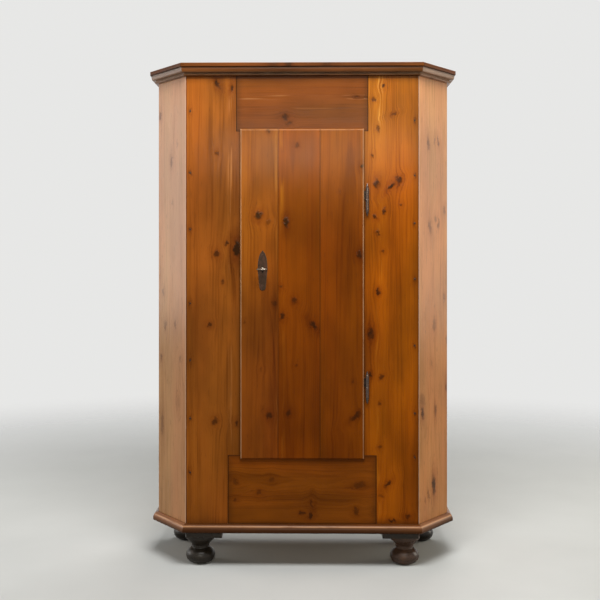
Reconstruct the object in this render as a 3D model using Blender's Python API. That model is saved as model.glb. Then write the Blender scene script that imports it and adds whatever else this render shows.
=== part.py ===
"""Pine cupboard with one door, canted front corners and turned feet.

The model is drawn with the front face of its frame at depth 0. X runs to the right, depth runs
back into the cupboard along +Y, and Z runs up from the floor. One empty carries the whole piece
and sets it down so that the origin lies at the floor, in the middle of the space it takes up.
"""
from math import asin, atan2, cos, pi, sin, tan

import bmesh
import bpy
from mathutils import Vector

# Carcase, in metres
HEIGHT = 1.850
FRONT_HALF = 0.4275
CANT_ACROSS = 0.126
CANT_BACK = 0.162
DEPTH = 0.430
BOARD = 0.022
BACK_BOARD = 0.014
BACK_BOARDS = 4
BACK_LAP = 0.010
SIDE_REBATE = 0.012

# Levels of the base and the top
FOOT_HEIGHT = 0.106
BLOCK_THICK = 0.023
BASE_THICK = 0.032
TOP_THICK = 0.015
TOP_PROJECT = 0.032
TOP_EDGE_RADIUS = 0.0025

# Front frame: its opening, and how far the rails lap over the stiles
OPENING_HALF = 0.2165
BOTTOM_RAIL_HEIGHT = 0.2514
TOP_RAIL_HEIGHT = 0.233
TOP_RAIL_LAP = 0.026
BOTTOM_RAIL_LAP = 0.0565
LAP_DEPTH = 0.011

# Base moulding and cornice
BASE_PROJECT = 0.021
BASE_FILLET = 0.002
BASE_DROP = 0.009
BASE_FOOT_EDGE = 0.003
BASE_UNDERCUT = 0.0045
CORNICE_HEIGHT = 0.030
CORNICE_PROJECT = 0.027
CORNICE_FILLET = 0.003
BAND_SWELL = 0.006
BEAD_RADIUS = 0.0038
BEAD_PROJECT = 0.0135
QUIRK_WIDTH = 0.0035

# Feet
FRONT_FOOT_FROM_CORNER = 0.0465
FRONT_FOOT_DEPTH = 0.066
REAR_FOOT_FROM_SIDE = 0.0835
REAR_FOOT_FROM_BACK = 0.072
BALL_RADIUS = 0.054
BALL_HALF_HEIGHT = 0.035
SOLE_RADIUS = 0.030
NECK_RADIUS = 0.0305
NECK_Z = 0.062
COLLAR_STEP = 0.0025
CUP_RADIUS = 0.0565
CUP_RIM = 0.012
FLARE_BEND = 1.1
FRONT_BLOCK_WIDTH = 0.133
REAR_BLOCK_HALF = 0.068
BLOCK_EDGE_RADIUS = 0.003
SPIGOT_RADIUS = 0.015
FOOT_SIDES = 28
FLARE_STEPS = 5

# Shelves
SHELVES = 3
FIRST_SHELF = 0.399
SHELF_STEP = 0.370
SHELF_THICK = 0.018
SHELF_SETBACK = 0.062
SHELF_PLAY = 0.0015
CLEAT_WIDTH = 0.020
CLEAT_HEIGHT = 0.032
CLEAT_CHAMFER = 0.014

# Door
DOOR_THICK = 0.026
DOOR_PROUD = 0.009
LIP_SIDE = 0.012
LIP_TOP = 0.009
LIP_BOTTOM = 0.013
DOOR_PLAY = 0.0027
DOOR_EDGE_RADIUS = 0.0065
DOOR_JOINTS = (-0.088, 0.066)
BATTEN_INSET = 0.1608
BATTEN_HALF = 0.029
BATTEN_THICK = 0.018
BATTEN_LET_IN = 0.007
DOVETAIL_FLARE = 0.003
BATTEN_CHAMFER = 0.005
BATTEN_LEFT_GAP = 0.0238
BATTEN_RIGHT_GAP = 0.009

# Hinges
HINGE_FROM_FOOT = 0.2636
HINGE_FROM_HEAD = 0.261
HINGE_LENGTH = 0.119
HINGE_RADIUS = 0.0065
HINGE_SIDES = 20
TAPER_LENGTH = 0.023
TAPER_BEND = 1.7
TAPER_STEPS = 7
POINT_RADIUS = 0.0010
HINGE_FROM_LIP = 0.0100
HINGE_STAND_OFF = 0.003
PIN_RADIUS = 0.0030
PIN_PLAY = 0.0005
PIN_LENGTH = 0.032
PIN_TAPER = 0.001
KNUCKLE_GAP = 0.0004
LEAF_THICK = 0.0022
LEAF_INTO_DOOR = 0.024
LEAF_INTO_STILE = 0.0195
LEAF_MARGIN = 0.003
MORTISE_PLAY = 0.0003

# Lock, key and escutcheon
KEY_FROM_EDGE = 0.0691
KEY_ABOVE_MIDDLE = 0.0908
PLATE_THICK = 0.0014
PLATE_HALF = 0.0180
PLATE_ABOVE = 0.069
PLATE_BELOW = 0.078
PLATE_FOOT_HALF = 0.0115
PLATE_TIP = 0.004
PLATE_EDGE_RADIUS = 0.0005
SHOULDER_ANGLE = 0.43 * pi
RIVET_RADIUS = 0.0027
RIVET_RISE = 0.0014
RIVET_FROM_TIP = 0.018
KEY_REACH = 0.055
KEY_SHANK_RADIUS = 0.0034
KEYHOLE_PLAY = 0.0005
BOW_HALF_WIDTH = 0.021
BOW_HALF_LENGTH = 0.0135
BOW_ROD = 0.0030
BOW_SIDES = 28
SHANK_SIDES = 16
SHANK_TAPER = 0.0007
COLLAR_RADIUS = 0.0055
COLLAR_LENGTH = 0.004
COLLAR_BEVEL = 0.001
BIT_REACH = 0.013
BIT_THICK = 0.0025
SLOT_HALF = 0.0020
CASE_WIDTH = 0.095
CASE_HEIGHT = 0.076
CASE_DEPTH = 0.016
CASE_WALL = 0.0015
CASE_EDGE_RADIUS = 0.0012
CASE_ABOVE_KEY = 0.043
CASE_INSET = 0.0018
BOLT_THICK = 0.006
BOLT_HEIGHT = 0.016
BOLT_ABOVE_KEY = 0.005
BOLT_LENGTH = 0.0925
BOLT_SETBACK = 0.0009
BOLT_THROW = 0.012
BOLT_PLAY = 0.0004
POST_RADIUS = 0.0025
POST_FROM_KEY = -0.030
STRIKE_WIDTH = 0.032
STRIKE_HEIGHT = 0.070
STRIKE_THICK = 0.0015

# Clearances between pieces that touch, and the reach of cutting shapes past a surface
GAP = 0.0003
MITRE_GAP = 0.0004
OVERSHOOT = 0.010

# Sides of the small round pins and rivets
SMALL_SIDES = 12

# Levels and places that follow from the sizes above
BASE_Z = FOOT_HEIGHT + BLOCK_THICK
FLOOR_Z = BASE_Z + BASE_THICK
TOP_Z = HEIGHT - TOP_THICK
SILL_Z = FLOOR_Z + BOTTOM_RAIL_HEIGHT
HEAD_Z = TOP_Z - TOP_RAIL_HEIGHT
CORNICE_Z = TOP_Z - CORNICE_HEIGHT
HALF = FRONT_HALF + CANT_ACROSS
SIDE_TURN = atan2(CANT_ACROSS, CANT_BACK)
FRONT_TURN = pi / 2 - SIDE_TURN
PLANK_JOINT = (CANT_BACK + DEPTH) / 2
INNER_BACK = DEPTH - BACK_BOARD
FRONT_FOOT_X = FRONT_HALF - FRONT_FOOT_FROM_CORNER
REAR_FOOT_X = HALF - REAR_FOOT_FROM_SIDE
REAR_FOOT_DEPTH = DEPTH - REAR_FOOT_FROM_BACK
INSIDE_HALF = OPENING_HALF - DOOR_PLAY
DOOR_HALF = OPENING_HALF + LIP_SIDE
DOOR_LOW = SILL_Z - LIP_BOTTOM
DOOR_HIGH = HEAD_Z + LIP_TOP
DOOR_BACK = DOOR_THICK - DOOR_PROUD
BATTEN_Z = (DOOR_LOW + BATTEN_INSET, DOOR_HIGH - BATTEN_INSET)
HINGE_Z = (DOOR_LOW + HINGE_FROM_FOOT, DOOR_HIGH - HINGE_FROM_HEAD)
HINGE_X = DOOR_HALF + HINGE_FROM_LIP
HINGE_DEPTH = -(HINGE_RADIUS + HINGE_STAND_OFF)
LEAF_OFFSET = HINGE_RADIUS - LEAF_THICK
KEY_X = KEY_FROM_EDGE - INSIDE_HALF
KEY_Z = (DOOR_LOW + DOOR_HIGH) / 2 + KEY_ABOVE_MIDDLE
SHANK_END = DOOR_BACK + CASE_DEPTH - CASE_WALL - GAP
BOLT_FRONT = BOARD + GAP + STRIKE_THICK + BOLT_PLAY
BOLT_LOW = KEY_Z + BOLT_ABOVE_KEY
CASE_LEFT = CASE_INSET - INSIDE_HALF
CASE_HIGH = KEY_Z + CASE_ABOVE_KEY
ORIGIN_TO_FRONT = (KEY_REACH - DEPTH) / 2

# Finishes: linear colour, roughness and metallic value
PINE = ((0.36, 0.115, 0.022), 0.45, 0.0)
PINE_DOOR = ((0.27, 0.083, 0.014), 0.45, 0.0)
PINE_PALE = ((0.45, 0.22, 0.09), 0.45, 0.0)
PINE_RAW = ((0.42, 0.24, 0.11), 0.7, 0.0)
DARK_WOOD = ((0.022, 0.017, 0.013), 0.35, 0.0)
IRON = ((0.060, 0.045, 0.035), 0.5, 0.85)
KEY_IRON = ((0.16, 0.13, 0.10), 0.35, 0.9)

# How large the empties that carry moving pieces are drawn
EMPTY_SIZE = 0.05


def new_object(name, mesh, finish, parent):
    """Wrap a mesh drawn in the carcase's frame as an object of its own, under a parent empty."""
    colour, roughness, metallic = finish
    material = bpy.data.materials.new(name + "_finish")
    material.use_nodes = True
    shader = material.node_tree.nodes["Principled BSDF"]
    shader.inputs["Base Color"].default_value = (*colour, 1.0)
    shader.inputs["Roughness"].default_value = roughness
    shader.inputs["Metallic"].default_value = metallic
    mesh.materials.append(material)
    piece = bpy.data.objects.new(name, mesh)
    bpy.context.scene.collection.objects.link(piece)
    piece.parent = parent
    for vertex in mesh.vertices:
        vertex.co -= frame_position(parent)
    return piece


def frame_position(empty):
    """Place of an empty in the carcase's frame, where the carcase's own empty is the origin."""
    place = Vector((0, 0, 0))
    while empty.parent is not None:
        place += empty.location
        empty = empty.parent
    return place


def new_empty(name, parent=None, place=(0, 0, 0)):
    """An empty that carries other pieces; place is in the carcase's frame."""
    empty = bpy.data.objects.new(name, None)
    empty.empty_display_size = EMPTY_SIZE
    bpy.context.scene.collection.objects.link(empty)
    empty.parent = parent
    empty.location = Vector(place)
    if parent is not None:
        empty.location -= frame_position(parent)
    return empty


def close_mesh(name, bm):
    """Turn a bmesh into a mesh whose faces all point out."""
    bmesh.ops.recalc_face_normals(bm, faces=bm.faces[:])
    mesh = bpy.data.meshes.new(name)
    bm.to_mesh(mesh)
    bm.free()
    return mesh


def loft(sections):
    """Closed body through rings of equal length, with a flat face on the first and the last."""
    bm = bmesh.new()
    rings = [[bm.verts.new(point) for point in section] for section in sections]
    count = len(rings[0])
    for near, far in zip(rings, rings[1:]):
        for i in range(count):
            j = (i + 1) % count
            bm.faces.new((near[i], near[j], far[j], far[i]))
    bm.faces.new(rings[0])
    bm.faces.new(rings[-1])
    return bm


def upright(outline, low, high):
    """Outline given as (x, depth), standing from one height to another."""
    return loft([[(x, depth, z) for x, depth in outline] for z in (low, high)])


def lengthwise(outline, left, right):
    """Section given as (depth, z), running from left to right."""
    return loft([[(x, depth, z) for depth, z in outline] for x in (left, right)])


def panel(outline, front, back):
    """Outline given as (x, z), with its thickness running back."""
    return loft([[(x, depth, z) for x, z in outline] for depth in (front, back)])


def block(x, depth, z):
    """Box between two places on each axis."""
    return upright([(x[0], depth[0]), (x[1], depth[0]), (x[1], depth[1]), (x[0], depth[1])], *z)


def arc(centre, radii, start, end, steps):
    """Points on an arc of a circle or an ellipse, with both ends."""
    points = []
    for i in range(steps + 1):
        angle = start + (end - start) * i / steps
        points.append((centre[0] + radii[0] * cos(angle), centre[1] + radii[1] * sin(angle)))
    return points


def turned(profile, place, sides, axis="Z"):
    """Spin a profile of (radius, along) points about an axis through a place."""
    bm = bmesh.new()
    spots = [bm.verts.new((radius, 0, along)) for radius, along in profile]
    edges = [bm.edges.new(pair) for pair in zip(spots, spots[1:])]
    bmesh.ops.spin(bm, geom=spots + edges, cent=(0, 0, 0), axis=(0, 0, 1), angle=2 * pi,
                   steps=sides, use_merge=True)
    bmesh.ops.remove_doubles(bm, verts=bm.verts[:], dist=1e-6)
    for vertex in bm.verts:
        x, y, along = vertex.co
        vertex.co = (x, along, -y) if axis == "Y" else (x, y, along)
        vertex.co += Vector(place)
    return bm


def round_edges(bm, wanted, radius, segments):
    """Round the edges whose two ends both satisfy a test."""
    edges = [edge for edge in bm.edges if all(wanted(vertex.co) for vertex in edge.verts)]
    bmesh.ops.bevel(bm, geom=edges, offset=radius, segments=segments, profile=0.5,
                    affect="EDGES", clamp_overlap=True)
    return bm


def shade(piece, angle=0.6):
    """Smooth shading, with edges sharper than the angle kept crisp."""
    piece.data.shade_smooth()
    piece.data.set_sharp_from_angle(angle=angle)
    return piece


def tool(name, bm, parent):
    """A shape that only cuts or joins: drawn as wires and never rendered."""
    piece = bpy.data.objects.new(name, close_mesh(name, bm))
    bpy.context.scene.collection.objects.link(piece)
    piece.parent = parent
    for vertex in piece.data.vertices:
        vertex.co -= frame_position(parent)
    piece.hide_render = True
    piece.display_type = "WIRE"
    return piece


def combine(piece, shape, operation="DIFFERENCE"):
    """Cut a shape out of a piece, or join it on."""
    modifier = piece.modifiers.new(shape.name, "BOOLEAN")
    modifier.operation = operation
    modifier.object = shape


def plan(out, back=DEPTH):
    """Outline of the carcase seen from above, grown by out on the sides, cants and front.

    It runs from the rear left corner round the front to the rear right corner.
    """
    side = HALF + out
    cant = CANT_BACK - out * tan(SIDE_TURN / 2)
    front = FRONT_HALF + out * tan(FRONT_TURN / 2)
    left = [(-side, back), (-side, cant), (-front, -out)]
    right = [(-x, depth) for x, depth in reversed(left)]
    return left + right


RUNS = ("side_left", "cant_left", "front", "cant_right", "side_right")


def run_ends(index, out):
    """Two ends of one run of the outline, drawn in a little where it meets its neighbours."""
    corners = [Vector(corner) for corner in plan(out)]
    start, end = corners[index], corners[index + 1]
    step = (end - start).normalized() * MITRE_GAP / 2
    if index > 0:
        start = start + step
    if index < len(RUNS) - 1:
        end = end - step
    return start, end


def moulding(index, profile):
    """One length of moulding: each point of its (out, z) profile follows the outline's mitres."""
    ends = [run_ends(index, out) for out, z in profile]
    sections = []
    for end in (0, 1):
        sections.append([(*pair[end], z) for pair, (out, z) in zip(ends, profile)])
    return loft(sections)


def base_profile():
    """Quarter round with a narrow fillet on top and a low upright foot."""
    reach = BASE_PROJECT - BASE_FILLET
    spring = BASE_Z + GAP + BASE_DROP
    curve = arc((BASE_FILLET, spring), (reach, FLOOR_Z - spring), pi / 2, 0, 7)
    low = BASE_Z + GAP
    foot = [(BASE_PROJECT, low + BASE_FOOT_EDGE), (BASE_PROJECT - BASE_UNDERCUT, low)]
    return [(GAP, BASE_Z + GAP), (GAP, FLOOR_Z)] + curve + foot


def cornice_profile():
    """Bead against the wall, a quirk, then a swelling band that ends in a fillet at the top."""
    bead_z = CORNICE_Z + BEAD_RADIUS
    bead_centre = BEAD_PROJECT - BEAD_RADIUS
    quirk_z = bead_z + BEAD_RADIUS
    band_low = quirk_z + QUIRK_WIDTH
    band_high = TOP_Z - CORNICE_FILLET
    band_out = CORNICE_PROJECT - BAND_SWELL
    bead = arc((bead_centre, bead_z), (BEAD_RADIUS, BEAD_RADIUS), -pi / 2, pi / 2, 5)
    quirk = [(bead_centre, band_low)]
    swell = arc((band_out, band_high), (BAND_SWELL, band_high - band_low), -pi / 2, 0, 5)
    return [(GAP, TOP_Z), (GAP, CORNICE_Z)] + bead + quirk + swell + [(CORNICE_PROJECT, TOP_Z)]


def make_mouldings(root):
    """Base moulding and cornice, five mitred lengths of each."""
    for index, run in enumerate(RUNS):
        base = moulding(index, base_profile())
        shade(new_object("base_moulding_" + run, close_mesh("base_" + run, base), PINE, root))
        cornice = moulding(index, cornice_profile())
        shade(new_object("cornice_" + run, close_mesh("cornice_" + run, cornice), PINE, root))


def plank_outline(out, rear):
    """Front or rear plank of a board that fills the outline, parted at the plank joint."""
    left, right = plan(out)[:3], plan(out)[3:]
    if rear:
        side = HALF + out
        joint = PLANK_JOINT + GAP
        return [(-side, DEPTH), (-side, joint), (side, joint), (side, DEPTH)]
    return [(left[0][0], PLANK_JOINT)] + left[1:] + right[:2] + [(right[2][0], PLANK_JOINT)]


def make_boards(root):
    """Bottom and top, each of two planks."""
    for plank, rear in (("front", False), ("rear", True)):
        bottom = upright(plank_outline(0, rear), BASE_Z + GAP, FLOOR_Z)
        new_object("bottom_board_" + plank, close_mesh("bottom_" + plank, bottom), PINE_RAW, root)
        top = upright(plank_outline(TOP_PROJECT, rear), TOP_Z + GAP, HEIGHT)
        on_edge = TOP_PROJECT + HALF
        if rear:
            round_edges(top, lambda spot: abs(spot.x) > on_edge - GAP, TOP_EDGE_RADIUS, 2)
        else:
            round_edges(top, lambda spot: spot.y < PLANK_JOINT - GAP, TOP_EDGE_RADIUS, 2)
        shade(new_object("top_board_" + plank, close_mesh("top_" + plank, top), PINE, root))


def make_stiles(root):
    """Stiles with the pockets that take the ends of the rails."""
    top_end = OPENING_HALF + TOP_RAIL_LAP + GAP
    bottom_end = OPENING_HALF + BOTTOM_RAIL_LAP + GAP
    inner = OPENING_HALF - OVERSHOOT
    for side, word in ((-1, "left"), (1, "right")):
        outer = run_ends(2, 0)[0]
        outer_back = run_ends(2, -BOARD)[0]
        outline = [(outer.x, 0), (-OPENING_HALF, 0), (-OPENING_HALF, BOARD), (outer_back.x, BOARD)]
        outline = [(-side * x, depth) for x, depth in outline]
        body = upright(outline, FLOOR_Z + GAP, TOP_Z)
        stile = new_object("front_stile_" + word, close_mesh("stile_" + word, body), PINE, root)
        depths = (-OVERSHOOT, LAP_DEPTH + GAP)
        high = block((side * inner, side * top_end), depths, (HEAD_Z - GAP, HEIGHT))
        low = block((side * inner, side * bottom_end), depths, (BASE_Z, SILL_Z + GAP))
        combine(stile, tool("top_pocket_" + word, high, root))
        combine(stile, tool("bottom_pocket_" + word, low, root))
        if side > 0:
            cut_stile_mortises(stile, root)
        shade(stile)


def cut_stile_mortises(stile, root):
    """Slots in the right stile for the leaves of the lower hinge halves."""
    left = HINGE_X + LEAF_OFFSET - MORTISE_PLAY
    right = HINGE_X + HINGE_RADIUS + MORTISE_PLAY
    for index, level in enumerate(HINGE_Z):
        low, high = leaf_span(level, -1)
        slot = block((left, right), (-OVERSHOOT, LEAF_INTO_STILE + MORTISE_PLAY),
                     (low - MORTISE_PLAY, high + MORTISE_PLAY))
        combine(stile, tool("stile_mortise_%d" % index, slot, root))


def rail_outline(lap):
    """Rail seen from above: its front half runs out over the stiles, its back half fits between."""
    long_half = OPENING_HALF + lap
    short_half = OPENING_HALF - GAP
    right = [(long_half, 0), (long_half, LAP_DEPTH), (short_half, LAP_DEPTH), (short_half, BOARD)]
    return [(-x, depth) for x, depth in reversed(right)] + right


def make_rails(root):
    """Top and bottom rails of the front frame."""
    top = upright(rail_outline(TOP_RAIL_LAP), HEAD_Z, TOP_Z)
    new_object("top_rail", close_mesh("top_rail", top), PINE, root)
    bottom = upright(rail_outline(BOTTOM_RAIL_LAP), FLOOR_Z + GAP, SILL_Z)
    new_object("bottom_rail", close_mesh("bottom_rail", bottom), PINE, root)


def make_walls(root):
    """Canted corner boards, and side boards rebated behind for the back."""
    for side, word, cant_run in ((-1, "left", 1), (1, "right", 3)):
        outer = run_ends(cant_run, 0)
        inner = run_ends(cant_run, -BOARD)
        cant = upright([*outer, inner[1], inner[0]], FLOOR_Z + GAP, TOP_Z)
        new_object("cant_board_" + word, close_mesh("cant_" + word, cant), PINE_PALE, root)
        front_out = run_ends(0, 0)[1]
        front_in = run_ends(0, -BOARD)[1]
        rebate = HALF - SIDE_REBATE
        outline = [(front_out.x, front_out.y), (-HALF, DEPTH), (-rebate, DEPTH),
                   (-rebate, INNER_BACK - GAP), (-HALF + BOARD, INNER_BACK - GAP),
                   (front_in.x, front_in.y)]
        outline = [(-side * x, depth) for x, depth in outline]
        board = upright(outline, FLOOR_Z + GAP, TOP_Z)
        new_object("side_board_" + word, close_mesh("side_" + word, board), PINE_PALE, root)


def make_back(root):
    """Upright back boards with half-lapped edges, set into the rebates of the sides."""
    half = HALF - SIDE_REBATE - GAP
    width = 2 * half / BACK_BOARDS
    middle = DEPTH - BACK_BOARD / 2
    for index in range(BACK_BOARDS):
        left = -half + index * width
        right = left + width
        left_lap = BACK_LAP / 2 if index > 0 else 0
        right_lap = BACK_LAP / 2 if index < BACK_BOARDS - 1 else 0
        left_gap = GAP if index > 0 else 0
        outline = [(left - left_lap + left_gap, INNER_BACK), (right - right_lap, INNER_BACK),
                   (right - right_lap, middle + GAP / 2), (right + right_lap, middle + GAP / 2),
                   (right + right_lap, DEPTH), (left + left_lap + left_gap, DEPTH),
                   (left + left_lap + left_gap, middle - GAP / 2),
                   (left - left_lap + left_gap, middle - GAP / 2)]
        if left_lap == 0:
            outline = outline[:6]
        if right_lap == 0:
            outline = outline[:1] + [(right, INNER_BACK), (right, DEPTH)] + outline[5:]
        board = upright(outline, FLOOR_Z + GAP, TOP_Z)
        name = "back_board_%d" % (index + 1)
        new_object(name, close_mesh(name, board), PINE_RAW, root)


def foot_profile():
    """Ball, neck, flaring cup and spigot, from the sole up, as (radius, z)."""
    sole_angle = -pi / 2 + asin(SOLE_RADIUS / BALL_RADIUS)
    ball_z = BALL_HALF_HEIGHT * -sin(sole_angle)
    neck_angle = pi / 2 - asin(NECK_RADIUS / BALL_RADIUS)
    ball = arc((0, ball_z), (BALL_RADIUS, BALL_HALF_HEIGHT), sole_angle, neck_angle, 11)
    collar = NECK_RADIUS + COLLAR_STEP
    neck = [(NECK_RADIUS, NECK_Z), (collar, NECK_Z + COLLAR_STEP)]
    flare_z = NECK_Z + 2 * COLLAR_STEP
    flare = []
    for i in range(FLARE_STEPS + 1):
        share = i / FLARE_STEPS
        radius = collar + (CUP_RADIUS - collar) * share ** FLARE_BEND
        flare.append((radius, flare_z + (FOOT_HEIGHT - CUP_RIM - flare_z) * share))
    rim = [(CUP_RADIUS, FOOT_HEIGHT)]
    spigot = [(SPIGOT_RADIUS, FOOT_HEIGHT), (SPIGOT_RADIUS, BASE_Z - GAP), (0, BASE_Z - GAP)]
    return [(0, 0)] + ball + neck + flare + rim + spigot


def front_block_outline(side):
    """Square block over a front foot, flush with the front corner."""
    inner = side * (FRONT_HALF - FRONT_BLOCK_WIDTH)
    outer = side * FRONT_HALF
    rear = 2 * FRONT_FOOT_DEPTH
    return [(inner, 0), (outer, 0), (outer, rear), (inner, rear)]


def rear_block_outline(side):
    """Square block over a rear foot."""
    inner, outer = REAR_FOOT_X - REAR_BLOCK_HALF, REAR_FOOT_X + REAR_BLOCK_HALF
    near, far = REAR_FOOT_DEPTH - REAR_BLOCK_HALF, REAR_FOOT_DEPTH + REAR_BLOCK_HALF
    return [(side * inner, near), (side * outer, near), (side * outer, far), (side * inner, far)]


def make_feet(root):
    """Four turned feet, each with its spigot through a block."""
    places = {
        "front_left": (-FRONT_FOOT_X, FRONT_FOOT_DEPTH, front_block_outline(-1)),
        "front_right": (FRONT_FOOT_X, FRONT_FOOT_DEPTH, front_block_outline(1)),
        "rear_left": (-REAR_FOOT_X, REAR_FOOT_DEPTH, rear_block_outline(-1)),
        "rear_right": (REAR_FOOT_X, REAR_FOOT_DEPTH, rear_block_outline(1)),
    }
    low = FOOT_HEIGHT + GAP
    hole = [(0, FOOT_HEIGHT - OVERSHOOT), (SPIGOT_RADIUS + GAP, FOOT_HEIGHT - OVERSHOOT),
            (SPIGOT_RADIUS + GAP, BASE_Z + OVERSHOOT), (0, BASE_Z + OVERSHOOT)]
    for word, (x, depth, outline) in places.items():
        foot = turned(foot_profile(), (x, depth, 0), FOOT_SIDES)
        shade(new_object("foot_" + word, close_mesh("foot_" + word, foot), DARK_WOOD, root))
        body = upright(outline, low, BASE_Z)
        round_edges(body, lambda spot: spot.z < low + GAP, BLOCK_EDGE_RADIUS, 2)
        name = "foot_block_" + word
        piece = new_object(name, close_mesh(name, body), DARK_WOOD, root)
        combine(piece, tool("spigot_hole_" + word, turned(hole, (x, depth, 0), FOOT_SIDES), root))
        shade(piece)


def make_shelves(root):
    """Shelves cut to the canted plan, each on a cleat at either side."""
    inside = plan(-(BOARD + SHELF_PLAY), INNER_BACK - SHELF_PLAY)
    (side, rear), (_, cant), (front, front_depth) = [(-x, depth) for x, depth in inside[:3]]
    share = (SHELF_SETBACK - front_depth) / (cant - front_depth)
    nose = front + share * (side - front)
    half = [(side, rear), (side, cant), (nose, SHELF_SETBACK)]
    outline = [(-x, depth) for x, depth in half] + list(reversed(half))
    wall = HALF - BOARD - GAP
    for number in range(1, SHELVES + 1):
        top = FLOOR_Z + FIRST_SHELF + (number - 1) * SHELF_STEP
        under = top - SHELF_THICK
        shelf = upright(outline, under, top)
        name = "shelf_%d" % number
        new_object(name, close_mesh(name, shelf), PINE_RAW, root)
        high = under - GAP
        low = high - CLEAT_HEIGHT
        near, far = cant, INNER_BACK - GAP
        section = [(near, high), (near, low + CLEAT_CHAMFER), (near + CLEAT_CHAMFER, low),
                   (far, low), (far, high)]
        for hand, word in ((-1, "left"), (1, "right")):
            cleat = lengthwise(section, hand * wall, hand * (wall - CLEAT_WIDTH))
            name = "shelf_cleat_%d_%s" % (number, word)
            new_object(name, close_mesh(name, cleat), PINE_RAW, root)


def door_board_outline(left, right):
    """Door board seen from above, with the lip on an outer edge."""
    outline = [(left, -DOOR_PROUD), (right, -DOOR_PROUD)]
    if right == DOOR_HALF:
        outline += [(right, -GAP), (INSIDE_HALF, -GAP)]
        right = INSIDE_HALF
    outline += [(right, DOOR_BACK)]
    if left == -DOOR_HALF:
        return outline + [(-INSIDE_HALF, DOOR_BACK), (-INSIDE_HALF, -GAP), (left, -GAP)]
    return outline + [(left, DOOR_BACK)]


def make_door_boards(door):
    """Three boards with a rounded lip all round the door's face."""
    edges = [-DOOR_HALF, *DOOR_JOINTS, DOOR_HALF]
    reach = DOOR_HALF + OVERSHOOT
    above = block((-reach, reach), (-GAP, DOOR_BACK + OVERSHOOT), (HEAD_Z - DOOR_PLAY, HEIGHT))
    below = block((-reach, reach), (-GAP, DOOR_BACK + OVERSHOOT), (BASE_Z, SILL_Z + DOOR_PLAY))
    above = tool("door_head_rebate", above, door)
    below = tool("door_foot_rebate", below, door)
    boards = {}
    for word, left, right in zip(("left", "middle", "right"), edges, edges[1:]):
        left += GAP / 2 if left > -DOOR_HALF else 0
        right -= GAP / 2 if right < DOOR_HALF else 0
        body = upright(door_board_outline(left, right), DOOR_LOW, DOOR_HIGH)
        round_door_face(body)
        name = "door_board_" + word
        board = new_object(name, close_mesh(name, body), PINE_DOOR, door)
        combine(board, above)
        combine(board, below)
        boards[word] = board
    return boards


def round_door_face(body):
    """Round the front edges of a door board where they lie on the door's outline."""
    def on_outline(edge):
        middle = (edge.verts[0].co + edge.verts[1].co) / 2
        on_face = all(vertex.co.y < -DOOR_PROUD + GAP / 10 for vertex in edge.verts)
        at_side = abs(abs(middle.x) - DOOR_HALF) < GAP / 10
        at_end = min(middle.z - DOOR_LOW, DOOR_HIGH - middle.z) < GAP / 10
        return on_face and (at_side or at_end)
    edges = [edge for edge in body.edges if on_outline(edge)]
    bmesh.ops.bevel(body, geom=edges, offset=DOOR_EDGE_RADIUS, segments=4, profile=0.5,
                    affect="EDGES", clamp_overlap=True)


def batten_section(level, play=0.0):
    """Batten across the door: a dovetail let into the boards, and a chamfered back."""
    floor = DOOR_BACK - BATTEN_LET_IN
    back = DOOR_BACK + BATTEN_THICK
    half = BATTEN_HALF
    wide = half + DOVETAIL_FLARE
    chamfer = BATTEN_CHAMFER
    if play:
        tip = DOOR_BACK + OVERSHOOT
        slope = DOVETAIL_FLARE / BATTEN_LET_IN
        narrow = half - slope * OVERSHOOT
        right = [(floor - play, wide + play), (tip, narrow + play)]
    else:
        right = [(floor, wide), (DOOR_BACK, half), (back - chamfer, half), (back, half - chamfer)]
    left = [(depth, -z) for depth, z in reversed(right)]
    return [(depth, level + z) for depth, z in right + left]


def make_battens(door, boards):
    """Two dovetailed battens that hold the door's boards flat."""
    left_end = BATTEN_LEFT_GAP - INSIDE_HALF
    right_end = INSIDE_HALF - BATTEN_RIGHT_GAP
    for word, level in zip(("lower", "upper"), BATTEN_Z):
        batten = lengthwise(batten_section(level), left_end, right_end)
        name = "door_batten_" + word
        new_object(name, close_mesh(name, batten), PINE_RAW, door)
        groove = lengthwise(batten_section(level, GAP), left_end - GAP, DOOR_HALF)
        groove = tool("batten_groove_" + word, groove, door)
        for board in boards.values():
            combine(board, groove)


def leaf_span(level, half):
    """Heights of a hinge leaf: half is -1 for the lower half of the hinge and 1 for the upper."""
    barrel = HINGE_LENGTH / 2 - TAPER_LENGTH
    ends = (level + half * LEAF_MARGIN, level + half * (barrel - LEAF_MARGIN))
    return min(ends), max(ends)


def hinge_profile(bore):
    """Half of a spindle hinge from its inner end to its point: a bore or a pin at the inner end."""
    barrel = HINGE_LENGTH / 2 - TAPER_LENGTH
    start = KNUCKLE_GAP / 2
    if bore:
        hole = PIN_RADIUS + PIN_PLAY
        core = [(0, PIN_LENGTH + PIN_PLAY), (hole, PIN_LENGTH + PIN_PLAY), (hole, start)]
    else:
        core = [(0, -PIN_LENGTH), (PIN_RADIUS - PIN_TAPER, -PIN_LENGTH),
                (PIN_RADIUS, PIN_TAPER - PIN_LENGTH), (PIN_RADIUS, start)]
    taper = []
    for i in range(TAPER_STEPS + 1):
        share = i / TAPER_STEPS
        fullness = 1 - share ** TAPER_BEND
        radius = POINT_RADIUS + (HINGE_RADIUS - POINT_RADIUS) * fullness
        taper.append((radius, barrel + TAPER_LENGTH * share))
    return core + [(HINGE_RADIUS, start)] + taper + [(0, HINGE_LENGTH / 2)]


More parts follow.
